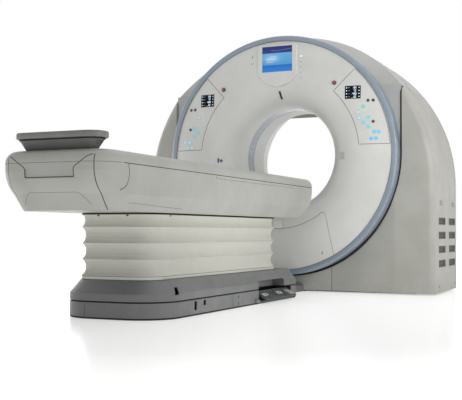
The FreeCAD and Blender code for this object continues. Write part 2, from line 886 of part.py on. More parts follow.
def rear_cover():
    """A shallow lid over the back, with a round opening that has a flat top, and vent slots."""
    outer = rear_lid("rear_outer", "0", "0")
    inner = rear_lid("rear_inner", "sizes.cover_wall", "sizes.overcut")
    hole = bore_body("rear_opening")
    reach = "sqrt(sizes.funnel_radius^2 - sizes.rear_brow^2)"
    back = "sizes.gantry_depth - 2 * sizes.overcut"
    depth = "4 * sizes.overcut"
    pad(hole, "front", back, depth, [
        (f"0 - {reach}", "sizes.rear_brow", "sizes.funnel_radius", "left"),
        ("0 - sizes.funnel_radius", "0", "sizes.funnel_radius", "left"),
        ("sizes.funnel_radius", "0", "sizes.funnel_radius", "left"),
        (reach, "sizes.rear_brow"),
    ])
    slots = gantry_body("rear_slots")
    for side in (-1, 1):
        x = f"{side} * sizes.rear_slot_x"
        slot = pad(slots, "front", back, depth, rectangle(
            f"{x} - sizes.rear_slot_length / 2", f"{x} + sizes.rear_slot_length / 2",
            "sizes.rear_slot_low", "sizes.rear_slot_low + sizes.rear_slot_height"))
        repeat(slots, slot, "Z_Axis", "sizes.rear_slot_pitch", "sizes.rear_slot_count")
    node(cut("rear_lid", outer, inner, hole, slots), "rear_cover")


# ---------------------------------------------------------------- ring, disc and bore

DISC_EDGE = "(sizes.ring_inner - sizes.seam_gap)"
CROWN_RISE = "(sizes.disc_edge_depth - sizes.crown_depth)"
CROWN_ARC = f"((({DISC_EDGE} - sizes.crown_radius)^2 + {CROWN_RISE}^2) / (2 * {CROWN_RISE}))"
BELL_ARC = "(sizes.crown_radius - sizes.bore_radius)"
BELL_END = f"(sizes.crown_depth + {BELL_ARC})"
BEHIND_SKIN = "(0 - sizes.cover_wall)"
FRONT_REACH = "(0 - 3 * sizes.overcut)"
THROUGH_DISC = "(sizes.disc_flange_depth + 4 * sizes.overcut)"
BUTTONS = {
    "start": ("sizes.button_top_x", "sizes.button_top_z"),
    "halt": ("sizes.button_mid_x", "sizes.button_top_z"),
    "release": ("sizes.button_low_x", "sizes.button_low_z"),
}
WELL = rectangle("0 - sizes.well_half_width", "sizes.well_half_width",
                 "sizes.well_start", "sizes.well_end")


def crown_depth(radius, lift="0"):
    """Depth of the disc's outer dome at a radius, or of a surface that far in front of it."""
    centre = f"(sizes.crown_depth + {CROWN_ARC})"
    return f"({centre} - sqrt(({CROWN_ARC} + {lift})^2 - (({radius}) - sizes.crown_radius)^2))"


def disc_skin(name, low, high):
    """The disc's skin between two distances in front of its surface, bell mouth included."""
    skin = bore_body(name)
    revolve(skin, [
        (DISC_EDGE, crown_depth(DISC_EDGE, high), f"{CROWN_ARC} + {high}", "right"),
        ("sizes.crown_radius", f"sizes.crown_depth - {high}", f"{BELL_ARC} + {high}", "right"),
        (f"sizes.crown_radius - ({BELL_ARC} + {high})", BELL_END),
        (f"sizes.crown_radius - ({BELL_ARC} + {low})", BELL_END, f"{BELL_ARC} + {low}", "left"),
        ("sizes.crown_radius", f"sizes.crown_depth - {low}", f"{CROWN_ARC} + {low}", "left"),
        (DISC_EDGE, crown_depth(DISC_EDGE, low)),
    ])
    return skin


def rod(name, x, z, radius, front, length):
    """A round bar along the bore, at a place counted from the bore's axis."""
    return cylinder(name, x, f"{RING_Y} + {front}", f"sizes.iso_height + {z}", radius, length)


def window(name, x, z, width, height, gap):
    """A bar through the disc that is rectangular seen from the front, widened by a gap."""
    form = bore_body(name)
    half_width, half_height = f"({width} / 2 + {gap})", f"({height} / 2 + {gap})"
    pad(form, "front", FRONT_REACH, THROUGH_DISC,
        rectangle(f"{x} - {half_width}", f"{x} + {half_width}",
                  f"{z} - {half_height}", f"{z} + {half_height}"))
    return form


def entry_form(name, gap):
    """A wedge below the axis that holds the entry panel, drawn in by a gap all round."""
    form = bore_body(name)
    sine, cosine = "sin(sizes.entry_half_angle * 1 deg)", "cos(sizes.entry_half_angle * 1 deg)"
    reach = f"(sizes.entry_radius - {gap})"
    run = f"sqrt({reach}^2 - {gap}^2)"
    x = f"({run} * {sine} - {gap} * {cosine})"
    z = f"(0 - {run} * {cosine} - {gap} * {sine})"
    pad(form, "front", FRONT_REACH, THROUGH_DISC, [
        ("0", f"0 - {gap} / {sine}"), (f"0 - {x}", z, reach, "left"), (x, z)])
    return form


def panel_form(name, gap):
    """The right control panel's outline through the disc, drawn in by a gap all round."""
    form = bore_body(name)
    sine, cosine = "sin(sizes.panel_top_angle * 1 deg)", "cos(sizes.panel_top_angle * 1 deg)"
    low = f"(sizes.panel_low + {gap})"
    corners = {}
    for edge, radius in (("in", f"(sizes.panel_inner + {gap})"), ("out", f"(sizes.panel_outer - {gap})")):
        run = f"sqrt({radius}^2 - {gap}^2)"
        corners[edge] = (f"sqrt({radius}^2 - {low}^2)", f"{run} * {cosine} + {gap} * {sine}",
                         f"{run} * {sine} - {gap} * {cosine}", radius)
    near_low, near_top_x, near_top_z, near_radius = corners["in"]
    far_low, far_top_x, far_top_z, far_radius = corners["out"]
    pad(form, "front", FRONT_REACH, THROUGH_DISC, [
        (near_low, low),
        (far_low, low, far_radius, "left"),
        (far_top_x, far_top_z),
        (near_top_x, near_top_z, near_radius, "right"),
    ])
    return form


def trim_ring():
    """The plain ring round the disc: a channel that is open towards the axis at its rear."""
    ring = bore_body("ring")
    wall = "sizes.cover_wall"
    rear = "(sizes.ring_depth - sizes.run_gap)"
    nose, small = "sizes.ring_nose_radius", "sizes.ring_inner_nose_radius"
    revolve(ring, [
        (f"sizes.ring_inner + {small}", "0"),
        (f"sizes.ring_outer - {nose}", "0", nose, "left"),
        ("sizes.ring_outer", nose),
        ("sizes.ring_outer", rear),
        (f"sizes.ring_inner + 3 * {wall}", rear),
        (f"sizes.ring_inner + 3 * {wall}", f"{rear} - {wall}"),
        (f"sizes.ring_outer - {wall}", f"{rear} - {wall}"),
        (f"sizes.ring_outer - {wall}", nose, f"{nose} - {wall}", "right"),
        (f"sizes.ring_outer - {nose}", wall),
        (f"sizes.ring_inner + {wall}", wall),
        (f"sizes.ring_inner + {wall}", f"{rear} - 4 * {wall}"),
        ("sizes.ring_inner", f"{rear} - 4 * {wall}"),
        ("sizes.ring_inner", small, small, "left"),
    ])
    node(ring, "trim_ring")


def stop_places():
    """(side, x) of each emergency stop."""
    return (("right", "sizes.stop_x"), ("left", "(0 - sizes.stop_x)"))


def laser_places():
    """(x, z, width, height) of the three laser windows, seen from the front."""
    middle = "((sizes.laser_slot_inner + sizes.laser_slot_outer) / 2)"
    length = "(sizes.laser_slot_outer - sizes.laser_slot_inner)"
    yield "0", middle, "sizes.laser_slot_width", length
    for side in (1, -1):
        yield (f"{side} * sizes.laser_side_x", "(0 - sizes.laser_side_drop)",
               "sizes.laser_side_width", "sizes.laser_side_height")


def front_disc():
    """The domed disc with its rim, its two control panels, the entry panel and laser windows."""
    skin = disc_skin("disc_skin", BEHIND_SKIN, "0")
    rim = "(sizes.cover_wall)"
    revolve(skin, [
        (f"{DISC_EDGE} - {rim}", "sizes.disc_edge_depth"), (DISC_EDGE, "sizes.disc_edge_depth"),
        (DISC_EDGE, "sizes.disc_flange_depth"), (f"{DISC_EDGE} - {rim}", "sizes.disc_flange_depth")])
    right_hole = panel_form("panel_hole", "0")
    holes = [entry_form("entry_hole", "0"), right_hole, mirror("left_panel_hole", right_hole)]
    for _, x in stop_places():
        holes.append(rod("stop_hole", x, "sizes.stop_z", "sizes.stop_collar_radius + sizes.run_gap",
                         FRONT_REACH, THROUGH_DISC))
    for place_x, place_z, width, height in laser_places():
        holes.append(window("laser_hole", place_x, place_z, width, height, "sizes.run_gap"))
    node(cut("disc", skin, *holes), "front_disc_cover")

    panel_skin = disc_skin("panel_skin", BEHIND_SKIN, "0")
    node(common("entry", panel_skin, entry_form("entry_shape", "sizes.seam_gap")), "entry_panel")
    plate = common("control_plate", panel_skin, panel_form("panel_shape", "sizes.seam_gap"))
    bores = [rod("button_bore", x, z, "sizes.button_radius + sizes.button_clearance",
                 FRONT_REACH, THROUGH_DISC) for x, z in BUTTONS.values()]
    right = node(cut("control_panel", plate, *bores), "control_panel_right")
    node(mirror("left_control_panel", right), "control_panel_left")

    glass_skin = disc_skin("laser_skin", BEHIND_SKIN, "sizes.laser_proud")
    panes = [window("laser_pane", *spot, "0") for spot in laser_places()]
    node(common("lasers", glass_skin, fuse("laser_panes", *panes)), "laser_windows")
    readout_skin = disc_skin("readout_skin", "sizes.run_gap", "sizes.readout_proud")
    readout = common("readout", readout_skin, window(
        "readout_shape", "sizes.readout_x", "sizes.readout_z", "sizes.readout_width",
        "sizes.readout_height", "0"))
    node(group("readouts", readout, mirror("left_readout", readout)), "panel_displays")


def pod_plan(inset):
    """The screen pod's outline from the front, drawn in by an inset: a shield with a round chin."""
    half, top = f"(sizes.pod_half_width - {inset})", f"(sizes.pod_top - {inset})"
    drop = f"(sizes.pod_shoulder - sizes.pod_bottom - {inset})"
    chin = f"(({half}^2 + {drop}^2) / (2 * {drop}))"
    corner = f"(sizes.pod_corner_radius - {inset})"
    return [
        (f"0 - {half}", "sizes.pod_shoulder", chin, "left"),
        (half, "sizes.pod_shoulder"),
        (half, f"{top} - {corner}", corner, "left"),
        (f"{half} - {corner}", top),
        (f"{corner} - {half}", top, corner, "left"),
        (f"0 - {half}", f"{top} - {corner}"),
    ]


def screen_pod():
    """The shield-shaped pod over the bore and the display that is let into it."""
    pod = bore_body("pod")
    shoulder = "(sizes.pod_front + sizes.pod_bevel)"
    loft(pod, "front", [("sizes.pod_front", pod_plan("sizes.pod_bevel")), (shoulder, pod_plan("0"))])
    pad(pod, "front", shoulder, "3 * sizes.overcut", pod_plan("0"))
    pocket(pod, "front", "sizes.pod_front - sizes.overcut", "sizes.overcut + sizes.screen_pocket",
           rectangle("0 - sizes.screen_half_width", "sizes.screen_half_width",
                     "sizes.screen_low", "sizes.screen_high"))
    seat = disc_skin("pod_seat", "(0 - 4 * sizes.overcut)", "sizes.run_gap")
    node(cut("bezel", pod, seat), "screen_bezel")

    screen = bore_body("screen")
    inset = "sizes.run_gap"
    pad(screen, "front", "sizes.pod_front + sizes.screen_pocket - sizes.screen_thickness",
        "sizes.screen_thickness",
        rectangle(f"{inset} - sizes.screen_half_width", f"sizes.screen_half_width - {inset}",
                  f"sizes.screen_low + {inset}", f"sizes.screen_high - {inset}"))
    node(screen, "display_screen")


def stops_and_buttons():
    """The emergency stops in their collars, and the push buttons of both control panels."""
    face = crown_depth("sqrt(sizes.stop_x^2 + sizes.stop_z^2)")
    floor = f"({face} + sizes.stop_depth)"
    front = f"({face} - sizes.stop_collar_proud)"
    hang = "(0 - sizes.stop_collar_proud - sizes.stop_travel - sizes.run_gap)"
    end = "(sizes.stop_depth - sizes.stop_collar_wall - sizes.stop_travel - sizes.run_gap)"
    edge = "(sizes.stop_head_thickness / 3)"
    collars = []
    for side, x in stop_places():
        collar = rod("collar", x, "sizes.stop_z", "sizes.stop_collar_radius", front, f"{floor} - {front}")
        bore = rod("collar_bore", x, "sizes.stop_z", "sizes.stop_stem_radius + sizes.run_gap",
                   f"({front} - sizes.overcut)",
                   f"{floor} - {front} - sizes.stop_collar_wall + sizes.overcut")
        collars.append(cut("collar_socket", collar, bore))
        stop = body("stop", x, f"{RING_Y} + {face}", "sizes.iso_height + sizes.stop_z")
        revolve(stop, [
            ("0", f"{hang} - sizes.stop_head_thickness"),
            (f"sizes.stop_head_radius - {edge}", f"{hang} - sizes.stop_head_thickness", edge, "left"),
            ("sizes.stop_head_radius", f"{hang} - sizes.stop_head_thickness + {edge}"),
            ("sizes.stop_head_radius", hang),
            ("sizes.stop_stem_radius", hang),
            ("sizes.stop_stem_radius", end),
            ("0", end),
        ])
        node(stop, f"emergency_stop_{side}")
    node(group("collars", *collars), "emergency_stop_collars")
    for label, (x, z) in BUTTONS.items():
        depth = crown_depth(f"sqrt({x}^2 + {z}^2)")
        button = body("button", x, f"{RING_Y} + {depth}", f"sizes.iso_height + {z}")
        top = "(0 - sizes.button_proud)"
        revolve(button, [
            ("0", top),
            ("sizes.button_radius - 1", top, "1", "left"),
            ("sizes.button_radius", f"{top} + 1"),
            ("sizes.button_radius", f"{top} + sizes.button_length"),
            ("0", f"{top} + sizes.button_length"),
        ])
        node(button, f"{label}_button_right")
        node(mirror("left_button", button), f"{label}_button_left")


def bore_tunnel():
    """The liners of the bore, with the thin window that the beam passes between them."""
    inner, outer = "sizes.bore_radius", "(sizes.bore_radius + sizes.liner_wall)"
    gap = "sizes.seam_gap"
    liner = bore_body("front_liner")
    revolve(liner, rectangle(inner, outer, f"{BELL_END} + {gap}", f"sizes.scan_window_front - {gap}"))
    node(liner, "bore_liner_front")
    pane = bore_body("pane")
    thin = "(sizes.bore_radius + sizes.window_inset)"
    revolve(pane, rectangle(thin, f"{thin} + sizes.window_wall",
                            "sizes.scan_window_front", "sizes.scan_window_rear"))
    node(pane, "scan_window")
    rear = bore_body("rear_liner")
    end = "(sizes.gantry_depth - sizes.cover_wall - sizes.run_gap)"
    revolve(rear, [
        (inner, f"sizes.scan_window_rear + {gap}"),
        (outer, f"sizes.scan_window_rear + {gap}"),
        (outer, "sizes.funnel_start"),
        ("sizes.funnel_radius + sizes.liner_wall", end),
        ("sizes.funnel_radius", end),
        (inner, "sizes.funnel_start"),
    ])
    node(rear, "bore_liner_rear")


# ---------------------------------------------------------------- frame and rotor

def gantry_frame():
    """The welded frame: floor plate, ring plate, posts, and arms that hold the covers."""
    frame = gantry_body("frame")
    half, radius = "sizes.frame_base_half", "sizes.frame_plate_radius"
    thick = "sizes.frame_base_thickness"
    pad(frame, "front", "sizes.frame_plate_front", "sizes.frame_plate_thickness", [
        (f"0 - {radius}", thick), (radius, thick), (radius, "sizes.iso_height", radius, "left"),
        (f"0 - {radius}", "sizes.iso_height")])
    pocket(frame, "front", "sizes.frame_plate_front - 1", "sizes.frame_plate_thickness + 2",
           ("circle", "0", "sizes.iso_height", "sizes.frame_plate_bore"))
    pad(frame, "top", "0", thick,
        rectangle(f"0 - {half}", half, "sizes.frame_base_front", "sizes.frame_base_rear"))
    behind = "(sizes.frame_plate_front + sizes.frame_plate_thickness)"
    reach = "(sizes.half_width - sizes.cover_wall - sizes.run_gap)"
    foot = "(sizes.centre_front + sizes.cover_wall + sizes.run_gap)"
    pad(frame, "top", "0", "sizes.front_foot_height",
        rectangle("0 - sizes.front_foot_half", "sizes.front_foot_half",
                  foot, "sizes.frame_base_front + 2 * sizes.overcut"))
    arm_front = "(sizes.disc_flange_depth + sizes.run_gap)"
    arm_length = f"sizes.frame_plate_front - {arm_front}"
    near_arm, far_arm = "sizes.arm_inner", "(sizes.arm_inner + sizes.arm_thickness)"
    for side in (1, -1):
        pad(frame, "front", behind, "sizes.frame_post_depth",
            rectangle(f"{side} * ({radius} - sizes.frame_post_width)", f"{side} * {radius}",
                      thick, "sizes.frame_post_height"))
        for level in ("sizes.outrigger_low", "sizes.outrigger_high"):
            pad(frame, "front", behind, "sizes.outrigger_depth",
                rectangle(f"{side} * {radius}", f"{side} * {reach}",
                          level, f"{level} + sizes.outrigger_height"))
        pad(frame, "front", arm_front, arm_length,
            rectangle(f"{side} * {near_arm}", f"{side} * {far_arm}",
                      "sizes.iso_height - sizes.arm_half_width", "sizes.iso_height + sizes.arm_half_width"))
        pad(frame, "front", arm_front, arm_length,
            rectangle("0 - sizes.arm_half_width", "sizes.arm_half_width",
                      f"sizes.iso_height + {side} * {near_arm}", f"sizes.iso_height + {side} * {far_arm}"))
        for depth in ("sizes.anchor_front", "sizes.anchor_rear"):
            pocket(frame, "top", "0 - 1", f"{thick} + 2",
                   ("circle", f"{side} * sizes.anchor_x", depth, "sizes.anchor_radius"))
    node(frame, "gantry_frame")


def drive_and_bearing():
    """The ring motor's fixed half with its poles, and the two races of the big bearing."""
    stator = bore_body("stator")
    front = "(sizes.frame_plate_front - sizes.stator_thickness)"
    revolve(stator, rectangle("sizes.stator_inner", "sizes.stator_outer",
                              front, "sizes.frame_plate_front"))
    middle = "((sizes.stator_inner + sizes.stator_outer) / 2)"
    pole = pad(stator, "front", f"{front} - sizes.stator_pole_depth", "sizes.stator_pole_depth",
               rectangle("0 - sizes.stator_pole_width / 2", "sizes.stator_pole_width / 2",
                         f"{middle} - sizes.stator_pole_length / 2",
                         f"{middle} + sizes.stator_pole_length / 2"))
    ring_of(stator, pole, "sizes.stator_poles")
    node(stator, "drive_stator")
    outer = bore_body("outer_race")
    revolve(outer, rectangle("sizes.race_split", "sizes.race_outer",
                             "sizes.race_outer_front", "sizes.frame_plate_front"))
    node(outer, "bearing_outer_race")
    inner = bore_body("inner_race")
    revolve(inner, rectangle("sizes.race_inner", "sizes.race_split - sizes.run_gap",
                             "sizes.rotor_plate_rear", "sizes.race_inner_rear"))
    node(inner, "bearing_inner_race")


def rotor_drum():
    """The turning drum: rim, plate and hub lip in one, with four windows and two weights."""
    drum = bore_body("drum")
    hub, plate = "sizes.rotor_hub_radius", "sizes.rotor_plate_front"
    rim = "sizes.rotor_rim_radius"
    revolve(drum, [
        (hub, "sizes.rotor_hub_front"),
        (f"{hub} + sizes.rotor_hub_wall", "sizes.rotor_hub_front"),
        (f"{hub} + sizes.rotor_hub_wall", plate),
        (f"{rim} - sizes.rotor_rim_wall", plate),
        (f"{rim} - sizes.rotor_rim_wall", "sizes.rotor_rim_front"),
        (rim, "sizes.rotor_rim_front"),
        (rim, "sizes.rotor_plate_rear"),
        (hub, "sizes.rotor_plate_rear"),
    ])
    diagonal = "sizes.rotor_window_pitch / sqrt(2)"
    hole = pocket(drum, "front", f"{plate} - 1", f"sizes.rotor_plate_rear - {plate} + 2",
                  ("circle", diagonal, diagonal, "sizes.rotor_window_radius"))
    ring_of(drum, hole, "4")
    for step in (-1, 1):
        angle = f"((sizes.balance_angle + {step} * sizes.balance_spread) * 1 deg)"
        pad(drum, "front", f"{plate} - sizes.balance_length", "sizes.balance_length",
            ("circle", f"sizes.balance_pitch * sin({angle})", f"0 - sizes.balance_pitch * cos({angle})",
             "sizes.balance_radius"))
    node(drum, "rotor_drum")


def slip_ring():
    """The ring that carries current to the drum, with a groove for each brush, and its brushes."""
    ring = bore_body("slip")
    inner, outer = "sizes.slip_inner", "sizes.slip_outer"
    front = "sizes.rotor_plate_rear"
    rear = f"({front} + sizes.slip_thickness)"
    pitch = f"(({outer} - {inner}) / sizes.slip_grooves)"
    points = [(inner, front), (outer, front), (outer, rear)]
    for index in reversed(range(SIZES["slip_grooves"])):
        middle = f"{inner} + ({index} + 0.5) * {pitch}"
        for radius, depth in ((1, rear), (1, f"{rear} - sizes.slip_groove_depth"),
                              (-1, f"{rear} - sizes.slip_groove_depth"), (-1, rear)):
            points.append((f"{middle} + {radius} * sizes.slip_groove / 2", depth))
    points.append((inner, rear))
    revolve(ring, points)
    node(ring, "slip_ring")
    block = bore_body("brushes")
    pad(block, "front", f"{rear} + sizes.run_gap", f"sizes.frame_plate_front - {rear} - sizes.run_gap",
        rectangle("0 - sizes.brush_half_width", "sizes.brush_half_width",
                  "2 - sqrt(sizes.race_split^2 - sizes.brush_half_width^2)", "0 - sizes.brush_inner"))
    node(block, "brush_block")


def beam_parts():
    """The finned tube with its cap, the collimator below it and the curved detector opposite."""
    tube = body("tube", "0", RING_Y, "sizes.iso_height + sizes.tube_centre")
    radius, front, rear = "sizes.tube_radius", "sizes.tube_front", "sizes.rotor_plate_front"
    pitch = f"(({rear} - {front}) / (sizes.tube_fins + 1))"
    points = [("0", f"{front} - sizes.tube_cap_length"),
              ("sizes.tube_cap_radius", f"{front} - sizes.tube_cap_length"),
              ("sizes.tube_cap_radius", front), (radius, front)]
    for index in range(1, SIZES["tube_fins"] + 1):
        start = f"{front} + {index} * {pitch}"
        low = f"{radius} - sizes.tube_fin_depth"
        points += [(radius, start), (low, start), (low, f"{start} + sizes.tube_fin_width"),
                   (radius, f"{start} + sizes.tube_fin_width")]
    revolve(tube, points + [(radius, rear), ("0", rear)])
    node(tube, "xray_tube")

    collimator = bore_body("collimator")
    half, low = "sizes.collimator_half_width", "sizes.collimator_low"
    top = f"(sizes.tube_centre - {radius} - sizes.run_gap)"
    pad(collimator, "front", "sizes.collimator_front",
        "sizes.collimator_rear - sizes.collimator_front", rectangle(f"0 - {half}", half, low, top))
    pad(collimator, "front", "sizes.collimator_rear", f"{rear} - sizes.collimator_rear",
        rectangle(f"0 - {half}", half, low, f"({low} + {top}) / 2"))
    middle = "((sizes.collimator_front + sizes.collimator_rear) / 2)"
    slot = "sizes.collimator_slot_half_length"
    pocket(collimator, "top", f"{low} - 1", f"{top} - {low} + 2",
           rectangle(f"0 - {slot}", slot, f"{middle} - sizes.collimator_slot / 2",
                     f"{middle} + sizes.collimator_slot / 2"))
    node(collimator, "beam_collimator")

    detector = bore_body("detector")
    near_radius = "sizes.detector_radius"
    far_radius = "(sizes.detector_radius + sizes.detector_thickness)"
    sine, cosine = "sin(sizes.detector_half_angle * 1 deg)", "cos(sizes.detector_half_angle * 1 deg)"
    near_z = f"sizes.tube_centre - {near_radius} * {cosine}"
    far_z = f"sizes.tube_centre - {far_radius} * {cosine}"
    pad(detector, "front", "sizes.detector_front", f"{rear} - sizes.detector_front", [
        (f"0 - {near_radius} * {sine}", near_z, near_radius, "left"),
        (f"{near_radius} * {sine}", near_z),
        (f"{far_radius} * {sine}", far_z, far_radius, "right"),
        (f"0 - {far_radius} * {sine}", far_z),
    ])
    node(detector, "detector_array")


def power_and_cooling():
    """The high voltage supply and, opposite, the finned cooler."""
    for label, side in (("hv_generator", -1), ("cooling_unit", 1)):
        unit = bore_body(label + "_case")
        half = "sizes.supply_half_height"
        pad(unit, "front", "sizes.supply_front", "sizes.rotor_plate_front - sizes.supply_front",
            rectangle(f"{side} * sizes.supply_near", f"{side} * sizes.supply_far", f"0 - {half}", half))
        fillet(unit, "sizes.supply_edge_radius", lambda x, y, z: near(y, "sizes.supply_front"))
        if side > 0:
            pitch = f"(2 * {half} / (sizes.cooler_fins + 1))"
            low = f"(0 - {half} + {pitch} - sizes.cooler_fin_gap / 2)"
            slot = pocket(unit, "front", "sizes.supply_front - 1", "sizes.cooler_fin_depth",
                          rectangle("sizes.supply_near - 1", "sizes.supply_far + 1",
                                    low, f"{low} + sizes.cooler_fin_gap"))
            repeat(unit, slot, "Z_Axis", pitch, "sizes.cooler_fins")
        node(unit, label)


# ---------------------------------------------------------------- couch

def couch_plan(inset, foot_lean="0", head_lean="0", more_round="0"):
    """The couch's outline from above, drawn in by an inset all round and further at the ends."""
    half = f"(sizes.couch_half_width - {inset})"
    return rounded(f"0 - {half}", half, f"{inset} + {foot_lean}",
                   f"sizes.couch_length - {inset} - {head_lean}",
                   f"sizes.couch_foot_radius + {more_round} - {inset}",
                   f"sizes.couch_head_radius + {more_round} - {inset}")


def lower_form(name, wall, top):
    """The couch's lower half: straight sides, rounded ends and a tapered keel.

    With a wall it is the space inside.
    """
    form = couch_body(name)
    lean, turn = "sizes.crease_lean", "sizes.crease_round"
    crease = ("sizes.couch_crease", couch_plan(wall, lean, lean, turn))
    loft(form, "top", [
        (f"sizes.couch_bottom + {wall}",
         couch_plan(f"(sizes.couch_taper + {wall})", "sizes.keel_foot_lean", "sizes.keel_head_lean", turn)),
        crease])
    loft(form, "top", [
        crease,
        ("sizes.couch_belly",
         couch_plan(wall, "sizes.belly_lean", "sizes.belly_lean", f"{turn} / 4")),
        ("sizes.couch_waist", couch_plan(wall))], straight=False)
    pad(form, "top", "sizes.couch_waist", f"{top} - sizes.couch_waist", couch_plan(wall))
    return form


def couch_lower_shell():
    """The moulded trough under the couch, and the separate cap at its foot end."""
    outer = lower_form("couch_outer", "0", "sizes.couch_seam")
    inner = lower_form("couch_inner", "sizes.cover_wall", "(sizes.couch_seam + sizes.overcut)")
    shell = cut("couch_shell", outer, inner)
    well = couch_body("couch_well")
    pad(well, "top", "sizes.couch_bottom - sizes.overcut", "2 * sizes.overcut", WELL)
    grips = couch_body("grip_recesses")
    grip_top = "(sizes.couch_seam - sizes.grip_top_drop)"
    for start in ("sizes.couch_half_width - sizes.grip_recess",
                  "sizes.grip_recess - sizes.couch_half_width - sizes.overcut"):
        pad(grips, "side", start, "sizes.overcut",
            rounded("sizes.grip_front", "sizes.grip_rear", f"{grip_top} - sizes.grip_height", grip_top,
                    "sizes.grip_height / 2 - 1"))
    boxes = []
    for label, wall, top in (("link_box", "0", "sizes.couch_bottom + sizes.cover_wall"),
                             ("link_space", "sizes.cover_wall", "sizes.couch_bottom + sizes.overcut")):
        box_form = couch_body(label)
        half = f"(sizes.link_box_half_width - {wall})"
        low = f"(sizes.link_box_low + {wall})"
        pad(box_form, "top", low, f"{top} - {low}", rounded(
            f"0 - {half}", half, f"sizes.link_box_start + {wall}", f"sizes.link_box_end - {wall}",
            f"3 * sizes.cover_wall - {wall}"))
        boxes.append(box_form)
    caps = []
    for label, gap in (("cap_space", "0"), ("cap_shape", "sizes.seam_gap")):
        end = couch_body(label)
        half = f"(sizes.cap_half_width - {gap})"
        low = "(sizes.couch_bottom - sizes.overcut)"
        pad(end, "top", low, f"sizes.couch_seam + sizes.overcut - {low}",
            rectangle(f"0 - {half}", half, "0 - sizes.overcut", f"sizes.cap_depth - {gap}"))
        caps.append(end)
    trough = cut("couch_trough", shell, well, grips, caps[0])
    node(cut("couch_hull", fuse("couch_boxed", trough, boxes[0]), boxes[1]), "couch_lower_shell")
    back = couch_body("slot_back")
    slot = couch_body("slot_recess")
    half, low, high = ("sizes.slot_panel_half_width", "sizes.slot_panel_low",
                       "(sizes.slot_panel_low + sizes.slot_panel_height)")
    margin = "sizes.slot_backing"
    pad(back, "front", "sizes.cover_wall - 1", f"{margin} + 1", rectangle(
        f"0 - {half} - {margin}", f"{half} + {margin}", f"{low} - {margin}", f"{high} + {margin}"))
    pad(slot, "front", "0 - sizes.overcut", "sizes.overcut + sizes.slot_panel_recess",
        rectangle(f"0 - {half}", half, low, high))
    cap = fuse("cap_backed", common("cap_shell", shell, caps[1]), back)
    node(cut("foot_cap", cap, slot), "foot_end_cap")


def upper_form(name, wall, low):
    """The couch's upper half with its widely rounded top edge."""
    form = couch_body(name)
    top = f"(sizes.couch_top - {wall})"
    pad(form, "top", low, f"{top} - {low}", couch_plan(wall))
    fillet(form, f"sizes.couch_top_edge_radius - {wall}", lambda x, y, z: near(z, top))
    return form


def couch_upper_cover():
    """The moulded top of the couch with the channel in which the couchtop runs."""
    outer = upper_form("deck_outer", "0", "(sizes.couch_seam + sizes.seam_gap)")
    inner = upper_form("deck_inner", "sizes.cover_wall", "(sizes.couch_seam - sizes.overcut)")
    past = "sizes.couch_length + sizes.overcut"
    channels = []
    for label, wall in (("channel", "0"), ("channel_walls", "sizes.cover_wall")):
        channel = couch_body(label)
        half = f"(sizes.channel_half_width + {wall})"
        low = f"(sizes.channel_floor - {wall})"
        pad(channel, "top", low, f"sizes.couch_top + sizes.overcut - {low}",
            rectangle(f"0 - {half}", half, f"sizes.channel_foot - {wall}", past))
        channels.append(channel)
    slots = couch_body("rail_slots")
    for side in (1, -1):
        middle = f"{side} * sizes.rail_x"
        half = "(sizes.rail_half_width + sizes.rail_slot)"
        pad(slots, "top", "sizes.couch_seam - sizes.overcut", "3 * sizes.overcut",
            rectangle(f"{middle} - {half}", f"{middle} + {half}",
                      "sizes.ladder_start - sizes.rail_slot", "sizes.ladder_end + sizes.rail_slot"))
    hollow = cut("deck_hollow", inner, channels[1])
    node(cut("deck", outer, hollow, channels[0], slots), "couch_upper_cover")


def couchtop():
    """The thin sliding top: a shallow dish with lips along its sides and a rounded head."""
    section = couch_body("top_section")
    half, low, high = "sizes.top_half_width", "sizes.top_low", "sizes.top_high"
    chine, lip = "sizes.top_chine", "sizes.top_lip"
    dish = f"((({half} - {lip})^2 + sizes.top_sag^2) / (2 * sizes.top_sag))"
    start = "(sizes.channel_foot + sizes.top_clearance)"
    pad(section, "front", start, f"sizes.couch_length - {start}", [
        (f"{chine} - {half}", low),
        (f"{half} - {chine}", low),
        (half, f"{low} + {chine}"),
        (half, high),
        (f"{half} - {lip}", high, dish, "right"),
        (f"{lip} - {half}", high),
        (f"0 - {half}", high),
        (f"0 - {half}", f"{low} + {chine}"),
    ])
    plan = couch_body("top_plan")
    pad(plan, "top", f"{low} - 1", f"{high} - {low} + 2",
        rounded(f"0 - {half}", half, start, "sizes.couch_length", chine, "sizes.top_nose_radius"))
    node(common("top", section, plan), "couchtop")


def tray_form(name, wall, floor, top):
    """The tray's tapered tub, or with a wall the space inside it."""
    form = couch_body(name)
    lean = "sizes.tray_end_lean"
    end = "(sizes.tray_start + sizes.tray_length)"
    base = f"(sizes.tray_floor_half_width - {wall})"
    rim = f"(sizes.tray_rim_half_width - {wall})"
    rim_plan = rounded(f"0 - {rim}", rim, f"sizes.tray_start + {wall}", f"{end} - {wall}",
                       f"sizes.tray_corner_radius - {wall}")
    loft(form, "top", [
        (floor, rounded(f"0 - {base}", base, f"sizes.tray_start + {lean} + {wall}",
                        f"{end} - {lean} - {wall}", f"sizes.tray_base_radius - {wall}")),
        ("sizes.tray_rim_low", rim_plan)])
    pad(form, "top", "sizes.tray_rim_low", f"{top} - sizes.tray_rim_low", rim_plan)
    return form


